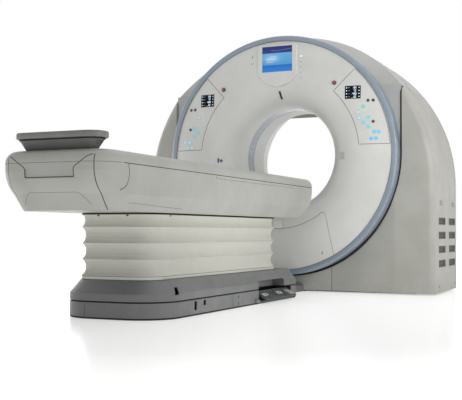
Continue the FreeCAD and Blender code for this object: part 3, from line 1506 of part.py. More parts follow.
def end_tray():
    """The accessory tray at the foot end: a tub with a rim, hand holes and a tongue behind."""
    floor = "(sizes.couch_top + sizes.run_gap)"
    outer = tray_form("tray_outer", "0", floor, "sizes.tray_rim_high")
    inner = tray_form("tray_inner", "sizes.tray_wall", f"({floor} + sizes.tray_wall)",
                      "(sizes.tray_rim_high + sizes.overcut)")
    rim = couch_body("tray_rim")
    half = "(sizes.tray_rim_half_width + sizes.tray_rim_overhang)"
    pad(rim, "top", "sizes.tray_rim_high - 2 * sizes.tray_wall", "2 * sizes.tray_wall",
        rounded(f"0 - {half}", half, "sizes.tray_start - sizes.tray_rim_overhang",
                "sizes.tray_start + sizes.tray_length + sizes.tray_rim_overhang",
                "sizes.tray_corner_radius + sizes.tray_rim_overhang"))
    fillet(rim, "sizes.tray_wall / 2", lambda x, y, z: near(z, "sizes.tray_rim_high"))
    tongue = couch_body("tray_tongue")
    half, end = "sizes.tongue_half_width", "sizes.tongue_end"
    base = "(sizes.tray_start + sizes.tray_length / 2)"
    pad(tongue, "top", floor, "sizes.tray_wall",
        rounded(f"0 - {half}", half, base, end, "sizes.tray_base_radius"))
    lip = "(sizes.top_high + sizes.run_gap)"
    start = "(sizes.channel_foot + 2 * sizes.top_clearance)"
    pad(tongue, "top", lip, f"{floor} - {lip} + sizes.tray_wall / 2",
        rounded(f"sizes.tray_base_radius - {half}", f"{half} - sizes.tray_base_radius", start,
                f"{end} - sizes.tray_base_radius", "sizes.tray_base_radius / 2"))
    holes = couch_body("hand_holes")
    middle = "(sizes.tray_start + sizes.tray_length / 2)"
    pad(holes, "side", "0 - 2 * sizes.tray_rim_half_width", "4 * sizes.tray_rim_half_width",
        rounded(f"{middle} - sizes.hand_hole_length / 2", f"{middle} + sizes.hand_hole_length / 2",
                "sizes.hand_hole_low", "sizes.hand_hole_low + sizes.hand_hole_height",
                "sizes.hand_hole_height / 2 - 1"))
    tub = cut("tray_tub", fuse("tray_solid", outer, rim), inner, holes)
    node(fuse("tray", tub, tongue), "end_tray")


def couch_frame():
    """The ladder of beams in the couch, with the rails that carry the couchtop."""
    frame = couch_body("ladder")
    half, beam = "sizes.ladder_half_width", "sizes.ladder_beam"
    low = "(sizes.couch_bottom + sizes.cover_wall + sizes.run_gap)"
    height = f"sizes.ladder_high - {low}"
    spans = [("sizes.ladder_start", f"sizes.ladder_start + {beam}"),
             (f"sizes.ladder_end - {beam}", "sizes.ladder_end")]
    for index in range(2):
        middle = f"(sizes.column_foot + {index} * sizes.column_pitch)"
        spans.append((f"{middle} - sizes.cross_beam / 2", f"{middle} + sizes.cross_beam / 2"))
    pad(frame, "top", low, height, rectangle(f"0 - {half}", half, *spans[0]))
    for side in (1, -1):
        pad(frame, "top", low, height,
            rectangle(f"{side} * ({half} - {beam})", f"{side} * {half}",
                      "sizes.ladder_start", "sizes.ladder_end"))
    for span in spans[1:]:
        pad(frame, "top", low, height, rectangle(f"0 - {half}", half, *span))
    for side in (1, -1):
        middle = f"{side} * sizes.rail_x"
        pad(frame, "top", "sizes.ladder_high", "sizes.top_low - sizes.run_gap - sizes.ladder_high",
            rectangle(f"{middle} - sizes.rail_half_width", f"{middle} + sizes.rail_half_width",
                      "sizes.ladder_start", "sizes.ladder_end"))
    node(frame, "couch_frame")


def lifting_columns():
    """Two telescopic columns of square tubes, each with three stages."""
    half = "sizes.column_half"
    low = "sizes.base_plate_thickness"
    for label in ("column_outer", "column_middle", "column_inner"):
        tubes = []
        for index in range(2):
            middle = f"{FOOT_Y} + sizes.column_foot + {index} * sizes.column_pitch"
            sides = []
            for wall in ("0", "sizes.column_wall"):
                reach = f"({half} - {wall})"
                past = "0" if wall == "0" else "1"
                sides.append(box("stage", f"0 - {reach}", f"{middle} - {reach}", f"{low} - {past}",
                                 f"2 * {reach}", f"2 * {reach}", f"sizes.column_length + 2 * {past}"))
            tubes.append(cut("stage_tube", *sides))
        node(group(label + "_pair", *tubes), label)
        half = f"({half} - sizes.column_wall - sizes.column_clearance)"
        low = f"({low} + sizes.column_length - sizes.column_overlap)"


def bellows():
    """The pleated sleeve: a scalloped profile with sharp ridges, led once round the couch base."""
    sleeve = couch_body("sleeve")
    edge, wall = "sizes.bellows_start", "sizes.bellows_wall"
    low, high, flange = "sizes.bellows_low", "sizes.bellows_high", "sizes.bellows_flange"
    half, pitch = "sizes.bellows_half_width", "sizes.bellows_pitch"
    scallop = f"((({pitch} / 2)^2 + sizes.bellows_valley^2) / (2 * sizes.bellows_valley))"
    ridges = [f"sizes.bellows_top_ridge - {index} * {pitch}" for index in reversed(range(4))]
    points = [(f"{edge} + {flange}", low), (edge, low)]
    points += [(edge, ridge, scallop, "left") for ridge in ridges]
    points += [(edge, high), (f"{edge} + {flange}", high), (f"{edge} + {flange}", f"{high} - {wall}")]
    inside = [(f"{edge} + {wall}", f"{high} - {wall}")]
    inside += [(f"{edge} + {wall}", ridge) for ridge in reversed(ridges)]
    points += [(*spot, scallop, "right") for spot in inside[:-1]] + [inside[-1]]
    points += [(f"{edge} + {wall}", f"{low} + {wall}"), (f"{edge} + {flange}", f"{low} + {wall}")]
    start = f"sizes.bellows_corner - {half}"
    path = outline(sleeve, "top", low, rounded(f"0 - {half}", half, edge, "sizes.bellows_end",
                                               "sizes.bellows_corner"))
    sweep = sleeve.newObject("PartDesign::AdditivePipe", "sleeve_sweep")
    sweep.Profile = outline(sleeve, "side", start, points)
    sweep.Spine = (path, [f"Edge{index}" for index in range(1, 9)])
    sweep.Mode = "Frenet"
    node(sleeve, "bellows")


# ---------------------------------------------------------------- couch base

def base_plan(inset):
    """The base's outline from above, drawn in by an inset."""
    half = f"(sizes.base_half_width - {inset})"
    return rounded(f"0 - {half}", half, f"sizes.base_start + {inset}", f"sizes.base_end - {inset}",
                   f"sizes.base_foot_radius - {inset}", f"sizes.base_head_radius - {inset}")


def base_plate():
    """The steel plate on the floor that carries the columns."""
    plate = couch_body("base_steel")
    pad(plate, "top", "0", "sizes.base_plate_thickness", base_plan("(sizes.cover_wall + sizes.run_gap)"))
    node(plate, "couch_base_plate")


def base_skirt():
    """The band round the foot of the base, with slots and an open stretch at the pedals."""
    wall, inset = "sizes.cover_wall", "sizes.base_lip_inset"
    low, top = "sizes.floor_gap", "sizes.skirt_top"
    lip_top = f"({top} + sizes.base_seam - sizes.run_gap)"
    band = couch_body("skirt_band")
    pad(band, "top", low, f"{top} - {low}", base_plan("0"))
    pad(band, "top", top, f"{lip_top} - {top}", base_plan(inset))
    inside = couch_body("skirt_inside")
    pad(inside, "top", f"{low} - 1", f"{top} - {wall} - {low} + 1", base_plan(wall))
    pad(inside, "top", f"{top} - {wall}", f"{lip_top} - {top} + {wall} + 1",
        base_plan(f"({inset} + {wall})"))
    slots = couch_body("skirt_slots")
    past = "sizes.base_half_width - 3 * sizes.overcut"
    for side in (1, -1):
        begin = past if side > 0 else f"0 - ({past}) - 4 * sizes.overcut"
        for number in ("first", "second"):
            middle, slot_low = f"sizes.{number}_slot_y", f"sizes.{number}_slot_low"
            reach = "sizes.skirt_slot_length / 2"
            pad(slots, "side", begin, "4 * sizes.overcut",
                rectangle(f"{middle} - {reach}", f"{middle} + {reach}",
                          slot_low, "sizes.skirt_slot_high"))
    bays = couch_body("skirt_bays")
    for side in (1, -1):
        begin = "sizes.base_half_width - sizes.bay_depth"
        reach = "(sizes.bay_depth + sizes.overcut)"
        pad(bays, "side", begin if side > 0 else f"0 - ({begin}) - {reach}", reach,
            rectangle("sizes.bay_start", "sizes.bay_end", "0", f"{lip_top} + 1"))
    node(cut("skirt", band, inside, slots, bays), "base_skirt")


def base_cover():
    """The sloping shoulder of the base with its top plate, and a bay over the pedals."""
    low, shoulder, top = "(sizes.skirt_top + sizes.base_seam)", "sizes.base_shoulder", "sizes.base_top"
    forms = []
    for label, wall, start in (("shoulder_outer", "0", low),
                               ("shoulder_inner", "sizes.cover_wall", f"({low} - sizes.overcut)")):
        form = couch_body(label)
        pad(form, "top", start, f"{shoulder} - {start}", base_plan(wall))
        loft(form, "top", [(shoulder, base_plan(wall)),
                           (f"{top} - {wall}", base_plan(f"(sizes.base_taper + {wall})"))])
        forms.append(form)
    well = couch_body("base_well")
    pad(well, "top", f"{top} - sizes.overcut", "2 * sizes.overcut", WELL)
    bays, bay_walls = couch_body("bays"), couch_body("bay_walls")
    for bay, wall in ((bays, "0"), (bay_walls, "sizes.cover_wall")):
        for side in (1, -1):
            begin = f"(sizes.base_half_width - sizes.bay_depth - {wall})"
            reach = f"(sizes.bay_depth + {wall} + sizes.overcut)"
            pad(bay, "side", begin if side > 0 else f"0 - {begin} - {reach}", reach,
                rectangle(f"sizes.bay_start - {wall}", f"sizes.bay_start + sizes.bay_step + {wall}",
                          f"{low} - sizes.overcut", f"sizes.bay_top + {wall}"))
    slots = couch_body("shoulder_slots")
    past = "sizes.base_half_width - 4 * sizes.overcut"
    half, run = "sizes.base_slot_length / 2", "sizes.base_slot_slant"
    slot_low, slot_high = "sizes.base_slot_low", "sizes.base_slot_low + sizes.base_slot_height"
    for side in (1, -1):
        pad(slots, "side", past if side > 0 else f"0 - ({past}) - 5 * sizes.overcut", "5 * sizes.overcut", [
            (f"sizes.base_slot_y - {half}", slot_low),
            (f"sizes.base_slot_y + {half}", slot_low),
            (f"sizes.base_slot_y + {run} + {half}", slot_high),
            (f"sizes.base_slot_y + {run} - {half}", slot_high)])
    hollow = cut("shoulder_hollow", forms[1], bay_walls)
    node(cut("shoulder", forms[0], hollow, well, bays, slots), "base_cover")


def pedal_spans():
    """(side, number, start) of each pedal along the couch."""
    first = "((sizes.bay_start + sizes.bay_end - sizes.pedal_gap) / 2 - sizes.pedal_length)"
    for side in ("right", "left"):
        for number in range(2):
            yield side, number, f"({first} + {number} * (sizes.pedal_length + sizes.pedal_gap))"


def pedals():
    """Two foot pedals on each side, hinged on a pin that three brackets hold."""
    x, z = "sizes.pedal_pivot_x", "sizes.pedal_pivot_z"
    long = "sqrt(sizes.pedal_reach^2 + sizes.pedal_drop^2)"
    along_x, along_z = f"(sizes.pedal_reach / {long})", f"(0 - sizes.pedal_drop / {long})"

    def spot(run, rise):
        return (f"{x} + ({run}) * {along_x} - ({rise}) * {along_z}",
                f"{z} + ({run}) * {along_z} + ({rise}) * {along_x}")

    def slab(owner, start, length, run_low, run_high, rise_low, rise_high):
        pad(owner, "front", start, length, [
            spot(run_low, rise_low), spot(run_high, rise_low), spot(run_high, rise_high),
            spot(run_low, rise_high)])

    half = "sizes.pedal_thickness / 2"
    hub = "(sizes.pedal_thickness - 1)"
    for side, number, start in pedal_spans():
        if side == "left":
            continue
        pedal = couch_body("pedal")
        pad(pedal, "front", start, "sizes.pedal_length", ("circle", x, z, hub))
        slab(pedal, start, "sizes.pedal_length", "0", long, f"0 - {half}", half)
        middle = f"{start} + (sizes.pedal_length - sizes.pad_length) / 2"
        slab(pedal, middle, "sizes.pad_length", f"{long} - sizes.pad_width - {half}", f"{long} - {half}",
             "0", f"{half} + sizes.pad_height")
        pocket(pedal, "front", f"{start} - 1", "sizes.pedal_length + 2",
               ("circle", x, z, "sizes.pedal_pin_radius + sizes.pedal_bore_clearance"))
        word = ("lower", "raise")[number]
        node(pedal, f"{word}_pedal_right")
        node(mirror("left_pedal", pedal), f"{word}_pedal_left")

    bracket = couch_body("bracket")
    starts = [start for side, _, start in pedal_spans() if side == "right"]
    web = "(sizes.pedal_gap - 2 * sizes.bracket_play)"
    ends = [f"{starts[0]} - sizes.bracket_play - {web}",
            f"{starts[0]} + sizes.pedal_length + sizes.bracket_play",
            f"{starts[1]} + sizes.pedal_length + sizes.bracket_play"]
    pad(bracket, "front", ends[0], f"{ends[2]} + {web} - ({ends[0]})",
        ("circle", x, z, "sizes.pedal_pin_radius"))
    for end in ends:
        pad(bracket, "front", end, web, [
            (f"{x} - 2 * {hub}", "sizes.base_plate_thickness"),
            (f"{x} + {hub}", "sizes.base_plate_thickness"),
            (f"{x} + {hub}", f"{z} + {hub}"), (f"{x} - {hub}", f"{z} + {hub}")])
    node(group("brackets", bracket, mirror("left_bracket", bracket)), "pedal_brackets")


def floor_duct():
    """The cable duct on the floor between the couch base and the gantry."""
    duct = couch_body("duct")
    half, top, chamfer = "sizes.duct_half_width", "sizes.duct_height", "sizes.duct_chamfer"
    start = "(sizes.base_end + sizes.run_gap)"
    end = "(sizes.couch_reach + sizes.centre_front - sizes.run_gap)"
    pad(duct, "front", start, f"{end} - {start}", [
        (f"0 - {half}", "0"), (half, "0"), (half, f"{top} - {chamfer}"), (f"{half} - {chamfer}", top),
        (f"{chamfer} - {half}", top), (f"0 - {half}", f"{top} - {chamfer}")])
    wall = "sizes.cover_wall"
    pocket(duct, "front", f"{start} - 1", f"{end} - {start} + 2",
           rectangle(f"{chamfer} - {half}", f"{half} - {chamfer}", "0 - 1", f"{top} - {wall}"))
    node(duct, "floor_duct")


gantry_frame()
drive_and_bearing()
rotor_drum()
slip_ring()
beam_parts()
power_and_cooling()
stand_covers()
vent_grilles()
lower_front_cover()
top_shells()
rear_cover()
trim_ring()
front_disc()
screen_pod()
stops_and_buttons()
bore_tunnel()
couch_frame()
lifting_columns()
bellows()
couch_lower_shell()
couch_upper_cover()
couchtop()
end_tray()
base_plate()
base_skirt()
base_cover()
pedals()
floor_duct()

doc.recompute()
faults = [f"{item.Name} {item.State}" for item in doc.Objects
          if "Invalid" in item.State or "Error" in item.State]
faults += [f"{item.Label} has no valid shape" for item in nodes
           if item.Shape.isNull() or not item.Shape.isValid() or not item.Shape.Solids]
if faults:
    raise RuntimeError("; ".join(faults))

os.makedirs("parts", exist_ok=True)
for item in nodes:
    item.Shape.exportStep(f"parts/{item.Label}.step")
print(len(nodes), "sub-parts written")
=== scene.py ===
"""The CT scanner's looks: finishes, soft parts, small parts, light and camera, in metres."""

import logging
import math
from collections.abc import Mapping, Sequence
from dataclasses import dataclass, field
from enum import Enum
from functools import partial

import bpy
import numpy as np
from mathutils import Matrix, Vector
from mathutils.bvhtree import BVHTree

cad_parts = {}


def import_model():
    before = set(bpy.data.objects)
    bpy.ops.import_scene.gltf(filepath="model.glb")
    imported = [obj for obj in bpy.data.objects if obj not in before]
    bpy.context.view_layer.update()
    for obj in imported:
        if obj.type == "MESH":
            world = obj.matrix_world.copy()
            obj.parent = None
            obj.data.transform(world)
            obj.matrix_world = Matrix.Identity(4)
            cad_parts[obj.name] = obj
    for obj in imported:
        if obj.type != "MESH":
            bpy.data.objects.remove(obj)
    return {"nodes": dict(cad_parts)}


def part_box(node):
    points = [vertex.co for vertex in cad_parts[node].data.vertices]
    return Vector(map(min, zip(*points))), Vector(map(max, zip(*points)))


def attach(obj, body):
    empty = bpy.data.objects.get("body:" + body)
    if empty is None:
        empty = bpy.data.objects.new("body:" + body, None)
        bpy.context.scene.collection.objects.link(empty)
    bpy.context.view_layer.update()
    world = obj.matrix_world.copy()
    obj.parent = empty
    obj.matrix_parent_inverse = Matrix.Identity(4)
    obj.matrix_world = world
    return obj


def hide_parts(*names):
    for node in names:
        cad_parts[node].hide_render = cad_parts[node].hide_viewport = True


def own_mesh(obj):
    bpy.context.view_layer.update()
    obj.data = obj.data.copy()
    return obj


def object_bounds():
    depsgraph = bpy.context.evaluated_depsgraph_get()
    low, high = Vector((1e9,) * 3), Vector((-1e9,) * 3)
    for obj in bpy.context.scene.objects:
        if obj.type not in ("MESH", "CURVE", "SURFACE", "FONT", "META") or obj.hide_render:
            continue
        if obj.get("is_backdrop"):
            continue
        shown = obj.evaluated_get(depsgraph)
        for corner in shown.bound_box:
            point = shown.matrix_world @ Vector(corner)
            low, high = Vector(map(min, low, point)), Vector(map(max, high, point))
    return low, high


LOG = logging.getLogger("ct_scanner")
MM = 0.001
RING_Y = 1.010
AXIS = 1.040
FOOT = -1.980
SIDES = {"right": 1.0, "left": -1.0}
SIGNS = tuple(SIDES.values())

Array = np.ndarray
Socket = bpy.types.NodeSocket
Tone = Socket | str
Inputs = Mapping[str | int, object]
Numbers = Sequence[float]
Path = tuple[Array, Array]
Profile = Sequence[tuple[float, float]]


# ---------------------------------------------------------------- colour and material recipes

def linear(colour: str, alpha: float = 1.0) -> tuple[float, float, float, float]:
    """Turn an sRGB hex colour into the linear values that shaders take.

    Args:
        colour: Six hex digits with a leading hash.
        alpha: The fourth value of the result.

    Returns:
        Linear red, green and blue, and alpha.
    """
    parts = [int(colour[start:start + 2], 16) / 255 for start in (1, 3, 5)]
    red, green, blue = (
        part / 12.92 if part <= 0.04045 else ((part + 0.055) / 1.055) ** 2.4 for part in parts)
    return red, green, blue, alpha


def add_node(tree: bpy.types.NodeTree, kind: str, inputs: Inputs | None = None,
             **settings: object) -> bpy.types.Node:
    """Add one shader node, set it up and wire or fill its inputs.

    Args:
        tree: The node tree that gets the node.
        kind: The node's type name without its ShaderNode prefix.
        inputs: A socket to link, or a value to set, for each input name or place.
        settings: Attributes of the node.

    Returns:
        The new node.
    """
    node = tree.nodes.new("ShaderNode" + kind)
    for key, value in settings.items():
        setattr(node, key, value)
    for key, value in (inputs or {}).items():
        if isinstance(value, Socket):
            tree.links.new(value, node.inputs[key])
        else:
            node.inputs[key].default_value = value
    return node


class Recipe:
    """A material in the making: its tree, and short words for the nodes that finishes share."""

    def __init__(self, name: str) -> None:
        """Make an empty material.

        Args:
            name: The material's name.
        """
        self.material = bpy.data.materials.new(name)
        self.material.use_nodes = True
        tree = self.material.node_tree
        tree.nodes.clear()
        self.add = partial(add_node, tree)
        self.place = self.add("TexCoord").outputs["Object"]

    def stretched(self, *scale: float) -> Socket:
        """Scale the place along the three axes.

        Args:
            scale: The factors along X, Y and Z.

        Returns:
            The scaled place.
        """
        return self.add("Mapping", {"Vector": self.place, "Scale": scale}).outputs["Vector"]

    def noise(self, size_mm: float, detail: float, place: Socket | None = None) -> Socket:
        """Soft noise with patches of a real size.

        Args:
            size_mm: About how wide one patch is, in millimetres.
            detail: How many finer layers are added.
            place: Where it is read, or the object's own place.

        Returns:
            The noise, about 0.3 to 0.7.
        """
        inputs = {"Vector": place or self.place, "Scale": 1 / (size_mm * MM), "Detail": detail}
        return self.add("TexNoise", inputs).outputs["Fac"]

    def cells(self, size_mm: float) -> Socket:
        """Distance within cells of a real size.

        Args:
            size_mm: About how wide one cell is, in millimetres.

        Returns:
            The distance, 0 at a cell's middle.
        """
        inputs = {"Vector": self.place, "Scale": 1 / (size_mm * MM)}
        return self.add("TexVoronoi", inputs).outputs["Distance"]

    def span(self, value: Socket, low: float, high: float, start: float = 0.0,
             end: float = 1.0) -> Socket:
        """Map a range onto another, without going past its ends.

        Args:
            value: What is mapped.
            low: The value that becomes start.
            high: The value that becomes end.
            start: The result at low.
            end: The result at high.

        Returns:
            The mapped value.
        """
        inputs = {"Value": value, "From Min": low, "From Max": high, "To Min": start, "To Max": end}
        return self.add("MapRange", inputs, clamp=True).outputs["Result"]

    def patches(self, size_mm: float, detail: float, low: float, high: float, start: float = 0.0,
                end: float = 1.0, place: Socket | None = None) -> Socket:
        """Soft noise of a real size, with a part of its range mapped onto another.

        Args:
            size_mm: About how wide one patch is, in millimetres.
            detail: How many finer layers are added.
            low: The noise that becomes start.
            high: The noise that becomes end.
            start: The result at low.
            end: The result at high.
            place: Where it is read, or the object's own place.

        Returns:
            The mapped noise.
        """
        return self.span(self.noise(size_mm, detail, place), low, high, start, end)

    def times(self, first: Socket, second: Socket | float) -> Socket:
        """Multiply two values.

        Args:
            first: The first value.
            second: The second value.

        Returns:
            The product.
        """
        return self.add("Math", {0: first, 1: second}, operation="MULTIPLY").outputs[0]

    def layers(self, tone: Tone, *coats: tuple[Socket, Tone]) -> Socket:
        """Lay colours over a tone, one after the other.

        Args:
            tone: The colour below, as a socket or as sRGB hex.
            coats: Pairs of how much a coat hides, 0 to 1, and its colour.

        Returns:
            The mixed colour.
        """
        for factor, coat in coats:
            ends = [linear(end) if isinstance(end, str) else end for end in (tone, coat)]
            mixed = self.add("Mix", {0: factor, 6: ends[0], 7: ends[1]}, data_type="RGBA")
            tone = mixed.outputs[2]
        return tone

    def bump(self, height: Socket, depth_mm: float, below: Socket | None = None) -> Socket:
        """Turn a height into a bent normal.

        Args:
            height: The height, 0 to 1.
            depth_mm: How deep 1 is, in millimetres.
            below: Another bump that this one is added to.

        Returns:
            The normal.
        """
        inputs: dict[str | int, object] = {"Height": height, "Distance": depth_mm * MM}
        if below is not None:
            inputs["Normal"] = below
        return self.add("Bump", inputs).outputs["Normal"]

    def finish(self, **inputs: object) -> bpy.types.Material:
        """Close the recipe with the surface shader.

        Args:
            inputs: Sockets or values, by input name with _ for a space; colours may be hex.

        Returns:
            The material.
        """
        named = {key.replace("_", " "): linear(value) if isinstance(value, str) else value
                 for key, value in inputs.items()}
        shader = self.add("BsdfPrincipled", named)
        self.add("OutputMaterial", {"Surface": shader.outputs["BSDF"]})
        return self.material


@dataclass(frozen=True)
class Finish:
    """What every finish has: a name, a main colour, and a way to become a material."""

    name: str
    colour: str

    def make(self) -> bpy.types.Material:
        """Build the material.

        Returns:
            The finished material.
        """
        mix = Recipe(self.name)
        return mix.finish(**self.surface(mix))

    def surface(self, mix: Recipe) -> dict[str, object]:
        """Mix the finish in its own way.

        Args:
            mix: The recipe that gets the nodes.

        Returns:
            Sockets and values for the surface shader.
        """
        raise NotImplementedError


@dataclass(frozen=True)
class SprayedShell(Finish):
    """Two-pack paint sprayed over laid-up glass fibre.

    It gives the eye a calm satin skin: the tone drifts a little over a hand's breadth, fine orange
    peel breaks up the highlights, and cleaning and shoes leave it a touch darker near the floor.
    """

    drift: str
    gloss: float = 0.42
    peel_mm: float = 0.035

    def surface(self, mix: Recipe) -> dict[str, object]:
        """Mix drifting paint, wiped patches, low grime and orange peel."""
        height = mix.add("SeparateXYZ", {0: mix.place}).outputs["Z"]
        low = mix.span(height, 0.02, 0.16, 0.14, 0)
        tone = mix.layers(
            self.colour, (mix.patches(230, 3, 0.35, 0.65), self.drift),
            (mix.patches(38, 4, 0.55, 0.8, 0, 0.05, mix.stretched(1, 1, 0.5)), "#85827a"),
            (mix.times(low, mix.patches(24, 5, 0.4, 0.7)), "#5e5a52"))
        rough = mix.patches(55, 4, 0.3, 0.7, self.gloss - 0.05, self.gloss + 0.07)
        wave = mix.bump(mix.noise(90, 1), 0.10)
        return {"Base_Color": tone, "Roughness": rough, "IOR": 1.47,
                "Normal": mix.bump(mix.noise(2.6, 2), self.peel_mm, wave)}


@dataclass(frozen=True)
class LacqueredRing(Finish):
    """Blue-grey lacquer with fine metal flake under a clear coat.

    It gives the eye a cooler, glossier line round the disc, with a faint sparkle close up.
    """

    flake: str

    def surface(self, mix: Recipe) -> dict[str, object]:
        """Mix the flake, a drifting tint and the clear coat."""
        sparkle = mix.times(mix.span(mix.cells(0.5), 0.0, 0.35, 1, 0), 0.35)
        tone = mix.layers(self.colour, (sparkle, self.flake),
                          (mix.patches(160, 2, 0.35, 0.65, 0, 0.25), "#7f8a99"))
        return {"Base_Color": tone, "Roughness": mix.patches(40, 3, 0.3, 0.7, 0.30, 0.40),
                "Normal": mix.bump(mix.noise(3, 2), 0.02), "Metallic": 0.1, "Coat_Weight": 0.2,
                "Coat_Roughness": 0.18}


@dataclass(frozen=True)
class GrainedMoulding(Finish):
    """Injection-moulded plastic with a spark-eroded grain.

    It gives the eye a dull, even surface: a fine leather-like grain, edges of flow lines where the
    melt met, and small rubbed spots that shine a little more.
    """

    rubbed: str
    gloss: float = 0.5
    grain_mm: float = 0.9
    depth_mm: float = 0.05

    def surface(self, mix: Recipe) -> dict[str, object]:
        """Mix flow lines, rubbed spots and the grain."""
        flow = mix.patches(70, 3, 0.35, 0.65, 0, 0.3, mix.stretched(1, 0.4, 1))
        tone = mix.layers(self.colour, (flow, self.rubbed),
                          (mix.patches(14, 5, 0.58, 0.75, 0, 0.35), self.rubbed))
        rough = mix.patches(20, 4, 0.35, 0.7, self.gloss + 0.06, self.gloss - 0.06)
        return {"Base_Color": tone, "Roughness": rough,
                "Normal": mix.bump(mix.cells(self.grain_mm), self.depth_mm)}


@dataclass(frozen=True)
class CoatedFabric(Finish):
    """Woven polyester, coated on both faces with soft rubber.

    It gives the eye warm ivory cloth: a fine weave under the coat, and painted shade, a slightly
    yellowed darker tone, in the valleys between the folds; the crests keep the cloth's own tone.
    """

    # The colour of the painted shade in the folds' valleys.
    valley: str

    def surface(self, mix: Recipe) -> dict[str, object]:
        """Mix painted shade in the valleys, stains, dust, the dark hem and the weave."""
        crest, hem = (mix.add("Attribute", attribute_name=name).outputs["Fac"]
                      for name in ("crest", "hem"))
        # Painted shade: the valleys get the darker colour, more of it the deeper the fold.
        tone = mix.layers(self.colour, (mix.span(crest, 0.0, 0.8, 0.55, 0), self.valley),
                          (mix.patches(60, 4, 0.4, 0.7, 0, 0.15), "#b9b6aa"),
                          (mix.patches(5, 5, 0.55, 0.72, 0, 0.10), "#8d877a"),
                          (mix.span(hem, 0.35, 0.65, 0, 0.8), "#5f574a"))
        weft, warp = (
            mix.add("TexWave", {"Vector": place, "Scale": 160, "Distortion": 0.6, "Detail": 1},
                    bands_direction=way).outputs["Fac"]
            for place, way in ((mix.place, "Z"), (mix.stretched(1, 1, 0), "DIAGONAL")))
        soft = mix.bump(mix.noise(26, 2), 0.5)
        return {"Base_Color": tone, "Roughness": mix.patches(30, 3, 0.3, 0.7, 0.62, 0.74),
                "Normal": mix.bump(mix.times(weft, warp), 0.06, soft), "Sheen_Weight": 0.12,
                "Sheen_Roughness": 0.5}


@dataclass(frozen=True)
class PowderCoat(Finish):
    """Steel with a baked powder coat.

    It gives the eye a pebbled, half-matt skin on the hidden frame, chipped to grey at spots.
    """

    chip: str

    def surface(self, mix: Recipe) -> dict[str, object]:
        """Mix the drifting powder, its chips and its pebbles."""
        chips = mix.patches(9, 6, 0.70, 0.73)
        tone = mix.layers(self.colour, (mix.patches(120, 3, 0.35, 0.7, 0, 0.3), "#4c4f52"),
                          (chips, self.chip))
        return {"Base_Color": tone, "Roughness": mix.span(chips, 0, 1, 0.55, 0.38),
                "Normal": mix.bump(mix.noise(1.6, 2), 0.08)}


@dataclass(frozen=True)
class WorkedMetal(Finish):
    """Bare metal worked by a belt or a mill.

    It gives the eye fine streaks along one direction, with a hazy, uneven shine and faint spots.
    """

    shade: str
    streak: tuple[float, float, float] = (1.0, 0.04, 1.0)
    gloss: float = 0.32

    def surface(self, mix: Recipe) -> dict[str, object]:
        """Mix the streaks and the spots."""
        lines = mix.noise(1.1, 3, mix.stretched(*self.streak))
        tone = mix.layers(self.colour, (mix.span(lines, 0.35, 0.65), self.shade),
                          (mix.patches(45, 4, 0.5, 0.75, 0, 0.4), self.shade))
        rough = mix.span(lines, 0.3, 0.7, self.gloss - 0.07, self.gloss + 0.1)
        return {"Base_Color": tone, "Roughness": rough, "Normal": mix.bump(lines, 0.012),
                "Metallic": 1.0}


@dataclass(frozen=True)
class BlackGlass(Finish):
    """Cover glass over a dark display, bonded without an air gap.

    It gives the eye a deep, smooth face with slight finger haze.
    """

    def surface(self, mix: Recipe) -> dict[str, object]:
        """Mix the dark glass and its haze."""
        tone = mix.layers(self.colour, (mix.patches(12, 4, 0.5, 0.8, 0, 0.2), "#161c2a"))
        return {"Base_Color": tone, "Roughness": mix.patches(22, 5, 0.45, 0.75, 0.12, 0.26),
                "IOR": 1.5, "Specular_IOR_Level": 0.12}


@dataclass(frozen=True)
class TintedWindow(Finish):
    """Thin see-through plastic, drawn and trimmed.

    It gives the eye a milky band with fine draw lines that lets some of the inside through.
    """

    clear: float
    gloss: float = 0.14

    def surface(self, mix: Recipe) -> dict[str, object]:
        """Mix the draw lines into clear plastic."""
        lines = mix.noise(3, 3, mix.stretched(1, 0.05, 1))
        tone = mix.layers(self.colour, (mix.span(lines, 0.35, 0.65, 0, 0.4), "#8f98a3"))
        rough = mix.patches(18, 4, 0.35, 0.7, self.gloss, self.gloss + 0.16)
        return {"Base_Color": tone, "Roughness": rough, "Transmission_Weight": self.clear,
                "Normal": mix.bump(lines, 0.02), "IOR": 1.49}


@dataclass(frozen=True)
class LitFilm(Finish):
    """A printed film with a lamp behind it.

    It gives the eye a coloured glow that is strongest in the middle and grainy at the edge.
    """

    edge: str
    glow: float

    def surface(self, mix: Recipe) -> dict[str, object]:
        """Mix the patchy glow and the film's grain."""
        tone = mix.layers(self.colour, (mix.patches(9, 3, 0.3, 0.7), self.edge))
        return {"Base_Color": tone, "Roughness": mix.patches(4, 3, 0.3, 0.7, 0.28, 0.42),
                "Normal": mix.bump(mix.noise(0.6, 2), 0.02), "Emission_Color": tone,
                "Emission_Strength": self.glow}


@dataclass(frozen=True)
class PrintedPicture(Finish):
    """A display's picture, whose colours ride on the mesh; its own colour shows between the dots.

    It gives the eye a bright, flat picture made of fine dots behind the cover glass.
    """

    glow: float

    def surface(self, mix: Recipe) -> dict[str, object]:
        """Mix the picture and the dark between its dots."""
        ink = mix.add("Attribute", attribute_name="ink").outputs["Color"]
        tone = mix.layers(ink, (mix.span(mix.cells(0.8), 0.1, 0.5, 0, 0.12), self.colour))
        return {"Base_Color": tone, "Roughness": mix.patches(16, 4, 0.4, 0.7, 0.10, 0.22),
                "Emission_Color": tone, "Emission_Strength": self.glow}


